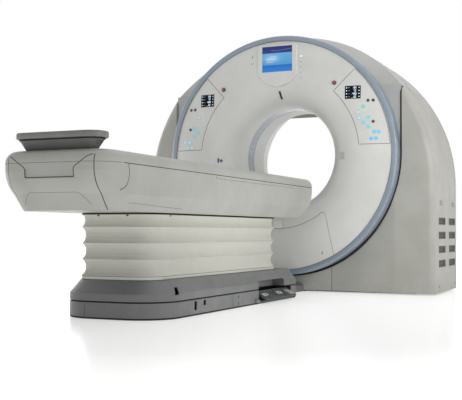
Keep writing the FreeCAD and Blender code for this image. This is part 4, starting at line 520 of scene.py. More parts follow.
@dataclass(frozen=True)
class CarbonBoard(Finish):
    """Carbon fibre skins with a pale gel coat.

    It gives the eye a smooth, cool white board through which the weave shows faintly.
    """

    weave: str

    def surface(self, mix: Recipe) -> dict[str, object]:
        """Mix the cloth below the coat, and wear along the board."""
        cloth = mix.add("TexChecker", {"Vector": mix.place, "Scale": 250}).outputs["Fac"]
        worn = mix.patches(120, 4, 0.5, 0.8, 0, 0.25, mix.stretched(1, 0.2, 1))
        tone = mix.layers(self.colour, (mix.times(cloth, 0.10), self.weave), (worn, self.weave))
        return {"Base_Color": tone, "Roughness": mix.patches(60, 4, 0.3, 0.7, 0.26, 0.38),
                "Normal": mix.bump(mix.noise(1.5, 2), 0.01), "Coat_Weight": 0.3,
                "Coat_Roughness": 0.15}


class Look(Enum):
    """Every finish of the scanner, by where it is used."""

    GANTRY = SprayedShell("gantry_paint", "#dadad7", "#d3d3cf")
    # A darker copy of the gantry's paint for the top shells: painted shade on these upward-facing
    # covers.
    SHELL = SprayedShell("shell_paint_shaded", "#b5b6b4", "#aeafac")
    COUCH = SprayedShell("couch_paint", "#b3b4ae", "#acada6")
    STAND = SprayedShell("stand_paint", "#b7b6b0", "#aeada6", 0.5)
    BASE = SprayedShell("base_paint", "#767877", "#6d6f6e", 0.42, 0.05)
    RING = LacqueredRing("ring_lacquer", "#8d99a7", "#aeb9c5")
    # The second colour is painted shade for the valleys between the folds.
    BELLOWS = CoatedFabric("bellows_fabric", "#cdcdc5", "#bebdb3")
    TRAY = GrainedMoulding("tray_moulding", "#646462", "#767572", 0.46, 1.2, 0.06)
    # A lighter copy of the tray's moulding for its rolled rim: painted highlight.
    TRAY_RIM_LIT = GrainedMoulding("tray_rim_lit_moulding", "#747472", "#8a8a87", 0.36, 1.2, 0.03)
    GRILLE = GrainedMoulding("grille_moulding", "#6b6b67", "#7b7a76", 0.6)
    BUTTON = GrainedMoulding("button_moulding", "#4a4743", "#5c5853", 0.42, 0.6, 0.02)
    GASKET = GrainedMoulding("gasket_rubber", "#3a3733", "#4a4641", 0.62, 0.7, 0.04)
    # Near black: painted shade and shadow in gaps, under the couch and the tray's rim and along the
    # floor, and the laser's dark slit.
    BLACK_GAP = GrainedMoulding("gap_shade_and_slit_black", "#16130f", "#221e1a", 0.75, 0.7, 0.04)
    # For fine joints and latches, and for painted shade lines in the ring's left slit, along the
    # entry crease and under the couch's grips.
    SOFT_LINE = GrainedMoulding("fine_joint_and_shade_line", "#7d7b74", "#8a8780", 0.6, 0.7, 0.02)
    # Darker than the stand's paint, for pads that stand for recesses: painted shade.
    RECESS_SHADE = GrainedMoulding("recess_shade_moulding", "#8f8e89", "#9b9a95", 0.55, 0.9, 0.04)
    STOP = GrainedMoulding("stop_red", "#7c181d", "#8f2a2c", 0.34, 0.5, 0.01)
    # A lighter red for the stop's raised middle: painted highlight on the dome.
    STOP_HIGHLIGHT = GrainedMoulding("stop_middle", "#a84240", "#bb5a56", 0.34, 0.5, 0.01)
    PALE_TRIM = GrainedMoulding("pale_moulding", "#b9babb", "#cfd0d0", 0.45, 0.8, 0.03)
    PEDAL = GrainedMoulding("pedal_rubber", "#3f4142", "#55575a", 0.62, 1.4, 0.08)
    PEDAL_PAD = GrainedMoulding("pedal_pad", "#c9cccc", "#aeb1b1", 0.5, 1.0, 0.05)
    TREAD = GrainedMoulding("tread_plate", "#a9a9a5", "#bdbdb8", 0.5, 4.0, 0.5)
    FRAME = PowderCoat("frame_powder", "#54585c", "#8a8d90")
    STEEL = WorkedMetal("ground_steel", "#8f8e8b", "#6f6e6c")
    ALUMINIUM = WorkedMetal("milled_aluminium", "#b7b8ba", "#9a9b9e", (0.05, 1.0, 1.0), 0.36)
    CONTACT = WorkedMetal("contact_bronze", "#b08a4a", "#8a6a38", (1.0, 1.0, 0.05), 0.28)
    GLASS = BlackGlass("display_glass", "#080c16")
    SCAN_WINDOW = TintedWindow("scan_window", "#aab4c4", 0.25)
    LENS = TintedWindow("laser_lens", "#3b3f42", 0.35)
    PANE = TintedWindow("laser_pane", "#dcdcd8", 0.02, 0.36)
    PANE_INNER = TintedWindow("laser_pane_inner", "#bebdb7", 0.05, 0.3)
    PICTURE = PrintedPicture("screen_picture", "#0b1a33", 0.20)
    CYAN = LitFilm("key_cyan", "#38bccf", "#55cede", 0.42)
    BLUE = LitFilm("key_blue", "#35a9e0", "#4cbcec", 0.45)
    PALE_KEY = LitFilm("key_pale", "#8ccfdd", "#a2dbe4", 0.32)
    TEAL = LitFilm("key_teal", "#3cc3b4", "#58d2c4", 0.42)
    FIGURE = LitFilm("figure_white", "#b9cfe6", "#dfe9f4", 0.8)
    FIGURE_DIM = LitFilm("figure_dim", "#5d7f9f", "#7d9cb8", 0.5)
    LAMP = LitFilm("lamp_white", "#f2f5f3", "#ffffff", 1.0)
    GREEN = LitFilm("mark_green", "#3fcf8a", "#6fe0a6", 0.7)
    AMBER = LitFilm("mark_amber", "#d96a5a", "#e58a78", 0.6)
    COUCHTOP = CarbonBoard("couchtop_board", "#c9cac8", "#8d9194")


WARDROBE = {
    Look.GANTRY: "front_disc_cover entry_panel control_panel_right control_panel_left screen_bezel "
                 "bore_liner_front bore_liner_rear",
    Look.SHELL: "top_front_shell top_rear_shell",
    Look.STAND: "right_stand_cover left_stand_cover lower_front_cover rear_cover",
    Look.COUCH: "couch_lower_shell foot_end_cap couch_upper_cover",
    Look.BASE: "base_cover base_skirt floor_duct",
    Look.RING: "trim_ring",
    Look.GLASS: "display_screen panel_displays",
    Look.GRILLE: "right_vent_grilles left_vent_grilles",
    Look.BUTTON: "start_button_right start_button_left halt_button_right halt_button_left "
                 "release_button_right release_button_left emergency_stop_collars",
    Look.STOP: "emergency_stop_right emergency_stop_left",
    Look.TRAY: "end_tray",
    Look.SCAN_WINDOW: "scan_window",
    Look.PANE: "laser_windows",
    Look.COUCHTOP: "couchtop",
    Look.PEDAL: "raise_pedal_right lower_pedal_right raise_pedal_left lower_pedal_left",
    Look.BELLOWS: "bellows",
    Look.FRAME: "gantry_frame couch_base_plate couch_frame pedal_brackets column_outer "
                "hv_generator",
    Look.STEEL: "bearing_outer_race bearing_inner_race column_middle column_inner xray_tube",
    Look.ALUMINIUM: "rotor_drum drive_stator beam_collimator detector_array cooling_unit "
                    "brush_block",
    Look.CONTACT: "slip_ring",
}


class Palette(dict[Look, bpy.types.Material]):
    """The finishes as materials, each made at its first use."""

    def __missing__(self, look: Look) -> bpy.types.Material:
        """Make a finish's material.

        Args:
            look: The finish.

        Returns:
            Its material.
        """
        self[look] = look.value.make()
        return self[look]


# ---------------------------------------------------------------- outlines, places and meshes

def rows(*columns: Array | float) -> Array:
    """Put columns of numbers side by side; a single number fills its column.

    Args:
        columns: The columns.

    Returns:
        One row of numbers for each place along the columns.
    """
    return np.stack(np.broadcast_arrays(*columns), -1).astype(float)


def arc_points(radius: float, start: float, end: float, count: int) -> Array:
    """Points of an arc about the bore's axis, seen from the front.

    Args:
        radius: Its radius.
        start: Its first angle in degrees, 0 to the right and 90 up.
        end: Its last angle.
        count: How many points it gets.

    Returns:
        Rows of x and z.
    """
    angle = np.radians(np.linspace(start, end, count))
    return rows(radius * np.cos(angle), AXIS + radius * np.sin(angle))


def smooth_path(points: Sequence[Numbers], count: int) -> Array:
    """Run an even, smooth path through a few points.

    The path is a Catmull-Rom curve: between two points, each coordinate is the cubic whose slope at
    a point is half the step between its neighbours.

    Args:
        points: The points it passes.
        count: How many points the path gets.

    Returns:
        The path's points.
    """
    knots = np.asarray(points, float)
    padded = np.concatenate([2 * knots[:1] - knots[1:2], knots, 2 * knots[-1:] - knots[-2:-1]])
    place = np.linspace(0, len(knots) - 1, count)
    index = np.minimum(place.astype(int), len(knots) - 2)
    part = (place - index)[:, None]
    before, start, end, after = (padded[index + step] for step in range(4))
    return 0.5 * (2 * start + (end - before) * part
                  + (2 * before - 5 * start + 4 * end - after) * part ** 2
                  + (3 * start - before - 3 * end + after) * part ** 3)


def facing(path: Array, out: Numbers = (0.0, -1.0, 0.0)) -> Path:
    """Give a path one outward direction all along.

    Args:
        path: Rows of x, y and z.
        out: The direction.

    Returns:
        The path and its outward directions.
    """
    return path, np.tile(np.array(out, float), (len(path), 1))


def upright(flat: Array, height: float, closed: bool = False) -> Path:
    """Stand a level outline's path at one height, to face away from the outline.

    Args:
        flat: Rows of x and y, against the clock.
        height: Metres above the floor.
        closed: Whether the outline closes on itself.

    Returns:
        The path and its outward directions.
    """
    ahead = np.roll(flat, -1, 0) - np.roll(flat, 1, 0) if closed else np.gradient(flat, axis=0)
    out = rows(ahead[:, 1], -ahead[:, 0], 0)
    return rows(flat[:, 0], flat[:, 1], height), out / np.linalg.norm(out, axis=1, keepdims=True)


@dataclass(frozen=True)
class RoundedBox:
    """A rectangle with round corners, as a flat outline.

    Args:
        width: Size along the first direction, in metres.
        height: Size along the second direction, in metres.
        radius: Corner radius, in metres.
        steps: Points in each corner.
    """

    width: float
    height: float
    radius: float
    steps: int = 5

    def points(self, inset: float = 0.0) -> Array:
        """Go once round the outline, against the clock.

        Each corner is a quarter circle about a centre that stays put while the inset grows, until
        its radius is used up.

        Args:
            inset: How far the outline is drawn in.

        Returns:
            One row of two numbers for each point.
        """
        radius = max(self.radius - inset, 1e-5)
        half = np.array([self.width / 2 - inset - radius, self.height / 2 - inset - radius])
        turn = (np.arange(self.steps) / (self.steps - 1))[None, :] * math.pi / 2
        angle = turn + np.arange(4)[:, None] * math.pi / 2
        corner = np.array([(1, 1), (-1, 1), (-1, -1), (1, -1)])[:, None, :] * half
        return (corner + radius * rows(np.cos(angle), np.sin(angle))).reshape(-1, 2)


@dataclass(frozen=True)
class Round:
    """A circle, as a flat outline.

    Args:
        radius: Its radius, in metres.
        steps: How many points it has.
    """

    radius: float
    steps: int = 24

    def points(self, inset: float = 0.0) -> Array:
        """Go once round the circle, against the clock.

        Args:
            inset: How far the outline is drawn in.

        Returns:
            One row of two numbers for each point.
        """
        angle = np.arange(self.steps) / self.steps * 2 * math.pi
        return (self.radius - inset) * rows(np.cos(angle), np.sin(angle))


@dataclass(frozen=True)
class Spot:
    """A place on a surface, with the directions a small part is laid out along.

    Args:
        origin: The place, in the row frame.
        right: The direction of a part's width.
        up: The direction of a part's height.
    """

    origin: Array
    right: Array
    up: Array

    @classmethod
    def flat_on(cls, origin: Numbers, out: Array, right: Numbers) -> "Spot":
        """Lay a spot flat on a surface.

        Args:
            origin: The place.
            out: The surface's outward direction.
            right: About which way the spot's width runs.

        Returns:
            The spot.
        """
        wide = np.array(right, float) - np.dot(right, out) * out
        wide /= np.linalg.norm(wide)
        return cls(np.array(origin), wide, np.cross(out, wide))

    @property
    def out(self) -> Array:
        """The direction away from the surface."""
        return np.cross(self.right, self.up)

    def lift(self, flat: Array, height: float) -> Array:
        """Turn flat points into points in space.

        Args:
            flat: Rows of width and height.
            height: How far the points stand off the surface.

        Returns:
            Rows of x, y and z.
        """
        return (self.origin + flat[..., :1] * self.right + flat[..., 1:2] * self.up
                + height * self.out)

    def moved(self, right: float, up: float = 0.0, out: float = 0.0) -> "Spot":
        """Step along the surface.

        Args:
            right: Metres along the width.
            up: Metres along the height.
            out: Metres off the surface.

        Returns:
            The new spot.
        """
        origin = self.origin + right * self.right + up * self.up + out * self.out
        return Spot(origin, self.right, self.up)

    def turned(self, degrees: float) -> "Spot":
        """Turn the layout in the surface.

        Args:
            degrees: The angle, against the clock.

        Returns:
            The turned spot.
        """
        cos, sin = math.cos(math.radians(degrees)), math.sin(math.radians(degrees))
        return Spot(self.origin, cos * self.right + sin * self.up, cos * self.up - sin * self.right)


def through(spots: Sequence[Spot]) -> Path:
    """Run a path through spots.

    Args:
        spots: The spots, in order.

    Returns:
        The path and its outward directions.
    """
    return np.array([spot.origin for spot in spots]), np.array([spot.out for spot in spots])


def grid_faces(lines: int, count: int, closed: bool) -> Array:
    """Quads between neighbouring lines of points.

    Args:
        lines: How many lines there are.
        count: Points in each line.
        closed: Whether each line closes on itself.

    Returns:
        Rows of four point numbers, facing away from the middle of closed lines.
    """
    row, col = np.meshgrid(np.arange(lines - 1), np.arange(count - 1 + closed), indexing="ij")
    after = (col + 1) % count
    quads = [row * count + col, row * count + after, (row + 1) * count + after,
             (row + 1) * count + col]
    return np.stack(quads, -1).reshape(-1, 4)


@dataclass
class Shape:
    """Points and faces that wait to become one mesh."""

    points: list[Array] = field(default_factory=list)
    faces: list[list[int]] = field(default_factory=list)
    count: int = 0

    def rings(self, rings: Array, capped: bool = True, wrap: bool = False) -> "Shape":
        """Add a closed skin through rings of points.

        Args:
            rings: The rings, as ring by point by coordinate.
            capped: Whether the first and the last ring are closed.
            wrap: Whether the last ring joins the first.

        Returns:
            This shape.
        """
        number, around = rings.shape[:2]
        faces = grid_faces(number + wrap, around, True) % (number * around)
        self.faces += (faces + self.count).tolist()
        if capped:
            last = self.count + (number - 1) * around
            self.faces.append(list(range(self.count + around - 1, self.count - 1, -1)))
            self.faces.append(list(range(last, last + around)))
        self.points.append(rings.reshape(-1, 3))
        self.count += number * around
        return self

    def bar(self, path: Array, out: Array, width: float, high: float, sunk: float,
            closed: bool = False) -> "Shape":
        """Add a narrow bar with a rounded back that follows a path.

        Its section has six points: two sunk in the surface, two at the shoulders and two on the
        back, laid across the path and lifted along the outward direction.

        Args:
            path: Points of the path.
            out: The outward direction at each point.
            width: Width across the path.
            high: How far its back stands off the surface.
            sunk: How deep its foot sits in the surface.
            closed: Whether the path closes on itself.

        Returns:
            This shape.
        """
        along = np.roll(path, -1, 0) - np.roll(path, 1, 0) if closed else np.gradient(path, axis=0)
        across = np.cross(along, out)
        across /= np.linalg.norm(across, axis=1, keepdims=True)
        section = np.array([(-0.5, -sunk), (-0.5, high * 0.45), (-0.26, high), (0.26, high),
                            (0.5, high * 0.45), (0.5, -sunk)])
        rings = (path[:, None] + section[None, :, :1] * width * across[:, None]
                 + section[None, :, 1:] * out[:, None])
        return self.rings(rings[:, ::-1], not closed, closed)

    def build(self, name: str, material: bpy.types.Material, body: str, slot: str,
              sharp: float = 35.0) -> bpy.types.Object:
        """Make the mesh and let it ride on a body.

        Args:
            name: The piece's name.
            material: Its finish.
            body: The body it moves with.
            slot: The record's slot that its finish belongs to; not used.
            sharp: Edges bent by more than these degrees stay crisp.

        Returns:
            The new object.
        """
        mesh = bpy.data.meshes.new(name)
        mesh.from_pydata(np.concatenate(self.points).tolist(), [], self.faces)
        mesh.validate()
        mesh.shade_smooth()
        mesh.set_sharp_from_angle(angle=math.radians(sharp))
        mesh.materials.append(material)
        piece = bpy.data.objects.new(name, mesh)
        bpy.context.scene.collection.objects.link(piece)
        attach(piece, body)
        return piece


@dataclass
class Surfaces:
    """The fixed frame's surfaces, to lay small parts on; a search tree is made when needed."""

    nodes: Mapping[str, bpy.types.Object]
    trees: dict[str, BVHTree] = field(default_factory=dict)

    def drop(self, node: str, start: Numbers, along: Numbers, right: Numbers = (1, 0, 0)) -> Spot:
        """Find the spot where a ray first meets one of some nodes.

        Args:
            node: The node's name, or several with a space between them.
            start: Where the ray starts.
            along: Where it goes.
            right: About which way the spot's width runs; along Y where the surface faces that way.

        Returns:
            The spot, flat on the node's surface.
        """
        hits = []
        for name in node.split():
            if name not in self.trees:
                graph = bpy.context.evaluated_depsgraph_get()
                self.trees[name] = BVHTree.FromObject(self.nodes[name], graph)
            hit = self.trees[name].ray_cast(Vector(start), Vector(along).normalized())
            if hit[0] is not None:
                hits.append((hit[3], hit[0], hit[1]))
        if not hits:
            raise ValueError(f"no surface of {node} lies ahead of {tuple(start)}")
        _, place, normal = min(hits, key=lambda hit: hit[0])
        out = np.array(normal) * (-1 if normal.dot(Vector(along)) > 0 else 1)
        return Spot.flat_on(place, out, (0, 1, 0) if abs(np.dot(right, out)) > 0.9 else right)

    def front(self, node: str, x: float, z: float) -> Spot:
        """Find a spot on a node's front, seen from the couch's end.

        Args:
            node: The node's name.
            x: Metres to the right.
            z: Metres above the floor.

        Returns:
            The spot.
        """
        return self.drop(node, (x, -3.0, z), (0, 1, 0))

    def flank(self, node: str, sign: float, y: float, z: float) -> Spot:
        """Find a spot on a node's long side.

        Args:
            node: The node's name.
            sign: 1 for the right side and -1 for the left.
            y: Metres towards the gantry.
            z: Metres above the floor.

        Returns:
            The spot.
        """
        return self.drop(node, (sign * 3.0, y, z), (-sign, 0, 0), (0, 1, 0))


# ---------------------------------------------------------------- soft parts and small parts

@dataclass(frozen=True)
class Dome:
    """The front disc's surface: a dome that rolls over its crown into the bore."""

    crown: float = 0.635
    forward: float = 0.024
    dome_arc: float = 0.9115
    bell_arc: float = 0.245

    def spot(self, x: float, z: float) -> Spot:
        """Find a spot on the disc.

        Outside the crown circle the depth follows an arc of the dome's radius, and inside it an arc
        of the bell mouth's radius; both are level at the crown.

        Args:
            x: Metres to the right.
            z: Metres above the floor.

        Returns:
            The spot.
        """
        radius = math.hypot(x, z - AXIS)
        arc = self.dome_arc if radius > self.crown else self.bell_arc
        run = math.sqrt(arc ** 2 - (radius - self.crown) ** 2)
        slope = (radius - self.crown) / run / radius
        out = np.array([slope * x, -1.0, slope * (z - AXIS)])
        out /= np.linalg.norm(out)
        return Spot.flat_on((x, RING_Y - self.forward + arc - run, z), out, (1, 0, 0))

    def both(self, flat: Array) -> list[Path]:
        """Lay a path on the right half of the disc and, mirrored, on the left half.

        Args:
            flat: Rows of x and z.

        Returns:
            The two paths.
        """
        return [through([self.spot(sign * x, z) for x, z in flat]) for sign in SIGNS]


@dataclass
class Workbench:
    """What every sub-assembly is made with, and the two kinds of small part that they share."""

    surfaces: Surfaces
    palette: Palette = field(default_factory=Palette)
    dome: Dome = field(default_factory=Dome)

    def plates(self, name: str, look: Look, spots: Sequence[Spot], outline: RoundedBox | Round,
               profile: Profile, body: str = "stand", slot: str = "dark_plastic") -> None:
        """Set the same small plate on several spots.

        Args:
            name: The piece's name.
            look: Its finish.
            spots: Where the plates stand.
            outline: Their outline.
            profile: Pairs of inset and height in millimetres, from foot to top.
            body: The body they move with.
            slot: The record's slot.
        """
        shape = Shape()
        for spot in spots:
            shape.rings(np.stack([spot.lift(outline.points(inset * MM), height * MM)
                                  for inset, height in profile]))
        shape.build(name, self.palette[look], body, slot)

    def strips(self, name: str, look: Look, paths: Sequence[Path], width_mm: float = 3.6,
               body: str = "stand", slot: str = "dark_plastic", high_mm: float = 0.4,
               closed: bool = False) -> None:
        """Lay thin strips along paths, such as the gaskets in seams.

        Args:
            name: The piece's name.
            look: Its finish.
            paths: Each path with its outward directions.
            width_mm: The strips' width.
            body: The body they move with.
            slot: The record's slot.
            high_mm: How far the strips stand off the surface.
            closed: Whether each path closes on itself.
        """
        shape = Shape()
        for path, out in paths:
            shape.bar(path, out, width_mm * MM, high_mm * MM, 1.2 * MM, closed)
        shape.build(name, self.palette[look], body, slot)


@dataclass
class Assembly:
    """A group of small parts that are made on one workbench."""

    bench: Workbench


@dataclass
class Bellows(Assembly):
    """The pleated sleeve round the lifting columns: coated cloth, drawn to its folds."""

    length: float = 1.810
    width: float = 0.480
    middle: float = -0.505
    low: float = 0.2005
    high: float = 0.5525
    corner: float = 0.125
    wall: float = 0.003
    valley: float = 0.022
    around: int = 420
    levels: int = 96
    hem_row: int = 5
    keep: float = 0.29

    def outline(self, inset: float) -> Array:
        """Go evenly round the sleeve at one level.

        Args:
            inset: How far the cloth is drawn in there.

        Returns:
            Rows of x and y, against the clock.
        """
        corners = RoundedBox(self.width, self.length, self.corner, 14).points(inset)
        loop = np.concatenate([corners, corners[:1]])
        run = np.concatenate([[0], np.cumsum(np.linalg.norm(np.diff(loop, axis=0), axis=1))])
        even = np.linspace(0, run[-1], self.around, endpoint=False)
        return rows(*(np.interp(even, run, loop[:, axis]) for axis in (0, 1)))

    def build(self) -> None:
        """Make the sleeve.

        The inset at each height is read off the solid sleeve. The cloth then stands off it by up to
        2 mm in shallow puckers and long level creases, sine waves that fade towards the crests.
        """
        heights = np.linspace(self.low + 0.0003, self.high - 0.0003, self.levels)
        side = self.bench.surfaces
        inset = np.array([self.width / 2 - side.flank("bellows", 1, -0.5, z).origin[0]
                          for z in heights])
        crest = 1 - np.clip(inset / self.valley, 0, 1)
        place = np.linspace(0, 2 * math.pi, self.around, endpoint=False)[None, :]
        tall = heights[:, None]
        pucker = (np.sin(61 * place + 70 * tall) + 0.7 * np.sin(23 * place - 41 * tall + 1.3)
                  + 0.5 * np.sin(97 * place + 150 * tall)) / 2.2
        crease = (np.sin(tall * 2 * math.pi / 0.021 + 2.2 * np.sin(2 * place + 0.4))
                  * (0.5 + 0.5 * np.sin(3 * place + 9 * tall)) ** 2)
        lift = (0.0008 * (1 + pucker) + 0.00045 * crease) * (1 - 0.75 * crest[:, None])
        flat = np.stack([self.outline(value) for value in inset])
        away = np.roll(flat, -1, 1) - np.roll(flat, 1, 1)
        away = rows(away[..., 1], -away[..., 0])
        away /= np.linalg.norm(away, axis=-1, keepdims=True)
        skin = flat + lift[..., None] * away
        inside = flat[::-1] - self.wall * away[::-1]
        plan = np.concatenate([skin, inside]) + np.array([0, self.middle])
        level = np.concatenate([heights, heights[::-1]])[:, None]
        shape = Shape().rings(rows(plan[..., 0], plan[..., 1], level), False, True)
        sleeve = shape.build("bellows_sleeve", self.bench.palette[Look.BELLOWS], "stand",
                             "bellows", 60)
        hem = (np.arange(self.levels) == self.hem_row).astype(float)
        # The crest value sets how much painted shade the cloth's finish lays in the valleys.
        for name, outer, inner in (("crest", crest, crest[::-1]), ("hem", hem, 0 * hem)):
            layer = sleeve.data.attributes.new(name, "FLOAT", "POINT")
            values = np.repeat(np.concatenate([outer, inner]), self.around)
            layer.data.foreach_set("value", values.astype(np.float32))
        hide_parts("bellows")
        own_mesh(sleeve)


@dataclass
class StatusScreen(Assembly):
    """The screen in the pod above the bore: its picture, and the marks beside the pod."""

    centre: tuple[float, float, float] = (0.0, 0.9776, 1.7708)
    width: float = 0.2424
    height: float = 0.1944
    columns: int = 119
    lines: int = 95
    foot_top: float = 0.27
    bar_foot: float = 0.74

    def ink(self, u: Array, v: Array) -> Array:
        """Paint the picture: a dark bar with a pale wave, a light field and a bright foot.

        Args:
            u: Place across, 0 to 1.
            v: Place upwards, 0 to 1.

        Returns:
            Linear colours.
        """
        def shade(low: str, high: str, part: Array) -> Array:
            ends = np.array([linear(low), linear(high)])
            return ends[0] + (ends[1] - ends[0]) * np.clip(part, 0, 1)[..., None]

        low, high = self.foot_top, self.bar_foot
        bar = v > high
        colour = shade("#4a9ad4", "#62b0e0", (v - low) / (high - low))
        colour = np.where((v < low)[..., None], shade("#0e84da", "#0a66c8", v / low), colour)
        colour = np.where(bar[..., None], shade("#052a86", "#031c66", (v - high) / (1 - high)),
                          colour)
        wave = (np.abs(v - 0.86 - 0.030 * np.sin(5.2 * u + 2.2)) < 0.006) & (u > 0.3)
        words = sum((np.abs(v - middle) < half) & (u > start) & (u < end)
                    for middle, half, start, end in ((0.50, 0.022, 0.13, 0.46),
                                                     (0.60, 0.012, 0.24, 0.48),
                                                     (0.39, 0.010, 0.13, 0.36))) > 0
        glow = np.exp(-((u - 0.32) / 0.22) ** 2 - ((v - 0.52) / 0.13) ** 2) * 0.45
        glow = np.where((v > low) & (v < high), glow, 0)
        strength = np.where(wave & bar, 0.3, np.where(words, 0.6, glow))
        return colour + (np.array(linear("#e9f6ff")) - colour) * strength[..., None]

    def build(self) -> None:
        """Make the picture, the lamps right of the pod and the marks left of it."""
        u, v = np.meshgrid(np.linspace(0, 1, self.columns), np.linspace(0, 1, self.lines))
        x, y, z = self.centre
        points = rows(x + (u - 0.5) * self.width, y, z + (v - 0.5) * self.height).reshape(-1, 3)
        shape = Shape([points], grid_faces(self.lines, self.columns, False).tolist(), u.size)
        picture = shape.build("screen_picture", self.bench.palette[Look.PICTURE], "stand",
                              "display")
        ink = picture.data.attributes.new("ink", "FLOAT_COLOR", "POINT")
        ink.data.foreach_set("color", self.ink(u, v).reshape(-1).astype(np.float32))
        dome = self.bench.dome
        for name, look, heights in (
                ("status_lamps", Look.FIGURE_DIM, (1.741, 1.699, 1.657, 1.615)),
                ("status_lamp_on", Look.LAMP, (1.783,))):
            self.bench.plates(name, look, [dome.spot(0.187, height) for height in heights],
                              RoundedBox(0.012, 0.008, 0.002), ((0, -0.4), (0, 0.5), (0.8, 1.0)),
                              slot="display")
        upper, lower = dome.spot(-0.213, 1.798), dome.spot(-0.212, 1.749)
        self.bench.plates("laser_mark_stems", Look.BUTTON, [
            upper, upper.moved(0, 0.009).turned(40), lower.moved(-0.006).turned(60),
            lower.moved(0.006).turned(120)],
            RoundedBox(0.0035, 0.017, 0.001), ((0, -0.3), (0.3, 0.3)))


@dataclass
class ControlPanel(Assembly):
    """A lit control panel: membrane keys, figures on its readout, rings round its push buttons."""

    side: str
    key: RoundedBox = RoundedBox(0.021, 0.021, 0.004)
    frame: RoundedBox = RoundedBox(0.027, 0.027, 0.006)
    keys: Mapping[str, Mapping[Look, tuple[tuple[float, float], ...]]] = field(
        default_factory=lambda: {
            "right": {
                Look.TEAL: ((0.669, 1.376),),
                Look.CYAN: ((0.707, 1.295), (0.673, 1.258), (0.709, 1.223)),
                Look.PALE_KEY: ((0.638, 1.292), (0.634, 1.334)),
                Look.BLUE: ((0.751, 1.186), (0.784, 1.185), (0.729, 1.137), (0.765, 1.138)),
            },
            "left": {
                Look.CYAN: ((-0.705, 1.270), (-0.668, 1.237), (-0.703, 1.203)),
                Look.PALE_KEY: ((-0.664, 1.353), (-0.790, 1.164), (-0.750, 1.161),
                                (-0.769, 1.116), (-0.726, 1.118)),
            },
        })
    segments: str = ("1110111 0010010 1011101 1011011 0111010 "
                     "1101011 1101111 1010010 1111111 1111011")
    readings: tuple[str, ...] = ("135", "72", "480", "20")
    figure_mm: float = 13.5
    top_row: float = 0.034
    row_step: float = 0.0225

    def figures(self, text: str, spot: Spot) -> list[tuple[Spot, bool]]:
        """Lay out the seven bars of each figure.

        Args:
            text: The figures.
            spot: The middle of the first figure.

        Returns:
            Each lit bar's spot, and whether it lies flat.
        """
        size = self.figure_mm * MM
        half, wide = size / 2, size / 4
        bars = ((0, half, True), (-wide, half / 2, False), (wide, half / 2, False), (0, 0, True),
                (-wide, -half / 2, False), (wide, -half / 2, False), (0, -half, True))
        lit = self.segments.split()
        return [(spot.moved(place * size * 0.78 + right, up), flat)
                for place, figure in enumerate(text)
                for on, (right, up, flat) in zip(lit[int(figure)], bars) if on == "1"]

    def readout(self) -> None:
        """Make the figures and the marks on the readout's glass."""
        side = self.side
        glass = self.bench.surfaces.front("panel_displays", SIDES[side] * 0.591, 1.484)
        heights = [self.top_row - self.row_step * row for row in range(len(self.readings))]
        bars = [bar for text, up in zip(self.readings, heights)
                for bar in self.figures(text, glass.moved(0.002 + 0.008 * (3 - len(text)), up,
                                                          0.0002))]
        starts, ends = ([glass.moved(right, up) for up in heights] for right in (-0.046, 0.047))
        level, standing = ([spot for spot, flat in bars if flat == wanted]
                           for wanted in (True, False))
        for name, look, spots, size, high in (
                ("figures_across", Look.FIGURE, level, (0.0062, 0.0022, 0.0007), (0, 0.2)),
                ("figures_upright", Look.FIGURE, standing, (0.0022, 0.0062, 0.0007), (0, 0.2)),
                ("row_marks", Look.FIGURE, starts + ends, (0.008, 0.006, 0.002), (0, 0.3)),
                ("unit_marks", Look.FIGURE_DIM, [spot.moved(0.018) for spot in starts],
                 (0.012, 0.003, 0.001), (0, 0.3)),
                ("mark_green", Look.GREEN, [glass.moved(0.018, -0.0425)],
                 (0.010, 0.004, 0.0015), (0, 0.3)),
                ("mark_amber", Look.AMBER, [glass.moved(-0.004, -0.0425)],
                 (0.010, 0.004, 0.0015), (0, 0.3))):
            self.bench.plates(f"{name}_{side}", look, spots, RoundedBox(*size), ((0, -0.3), high),
                              slot="display")

    def build(self) -> None:
        """Make the keys, the readout, and the rims and caps of the push buttons."""
        bench, sign, side = self.bench, SIDES[self.side], self.side
        for look, places in self.keys[side].items():
            spots = [bench.dome.spot(x, z) for x, z in places]
            bench.plates(f"{look.value.name}_{side}", look, spots, self.key,
                         ((0, -0.5), (0.3, 0.5), (1.6, 1.1), (3.2, 1.1)), slot="display")
            bench.plates(f"{look.value.name}_frames_{side}", Look.PALE_TRIM, spots, self.frame,
                         ((0, -0.4), (0.2, 0.3), (1.4, 0.4)), slot="trim")
        self.readout()
        buttons = {"start": (0.741, 1.419), "halt": (0.704, 1.419), "release": (0.743, 1.262)}
        rim = ((0.0120, -0.0006), (0.0118, 0.0012), (0.0110, 0.0016), (0.0088, 0.0016),
               (0.0083, 0.0010), (0.0083, -0.0006))
        shape = Shape()
        for x, z in sorted(buttons.values()):
            spot = bench.dome.spot(sign * x, z)
            shape.rings(np.stack([spot.lift(Round(radius, 32).points(), height)
                                  for radius, height in rim]), False, True)
        shape.build(f"button_rims_{side}", bench.palette[Look.BUTTON], "stand", "dark_plastic")
        for name, (x, z) in buttons.items():
            node = f"{name}_button_{side}"
            bench.plates(f"{name}_cap_{side}", Look.GASKET,
                         [bench.surfaces.front(node, sign * x, z)], Round(0.0058),
                         ((0, -0.3), (0.4, 0.4), (1.8, 0.6)), node)


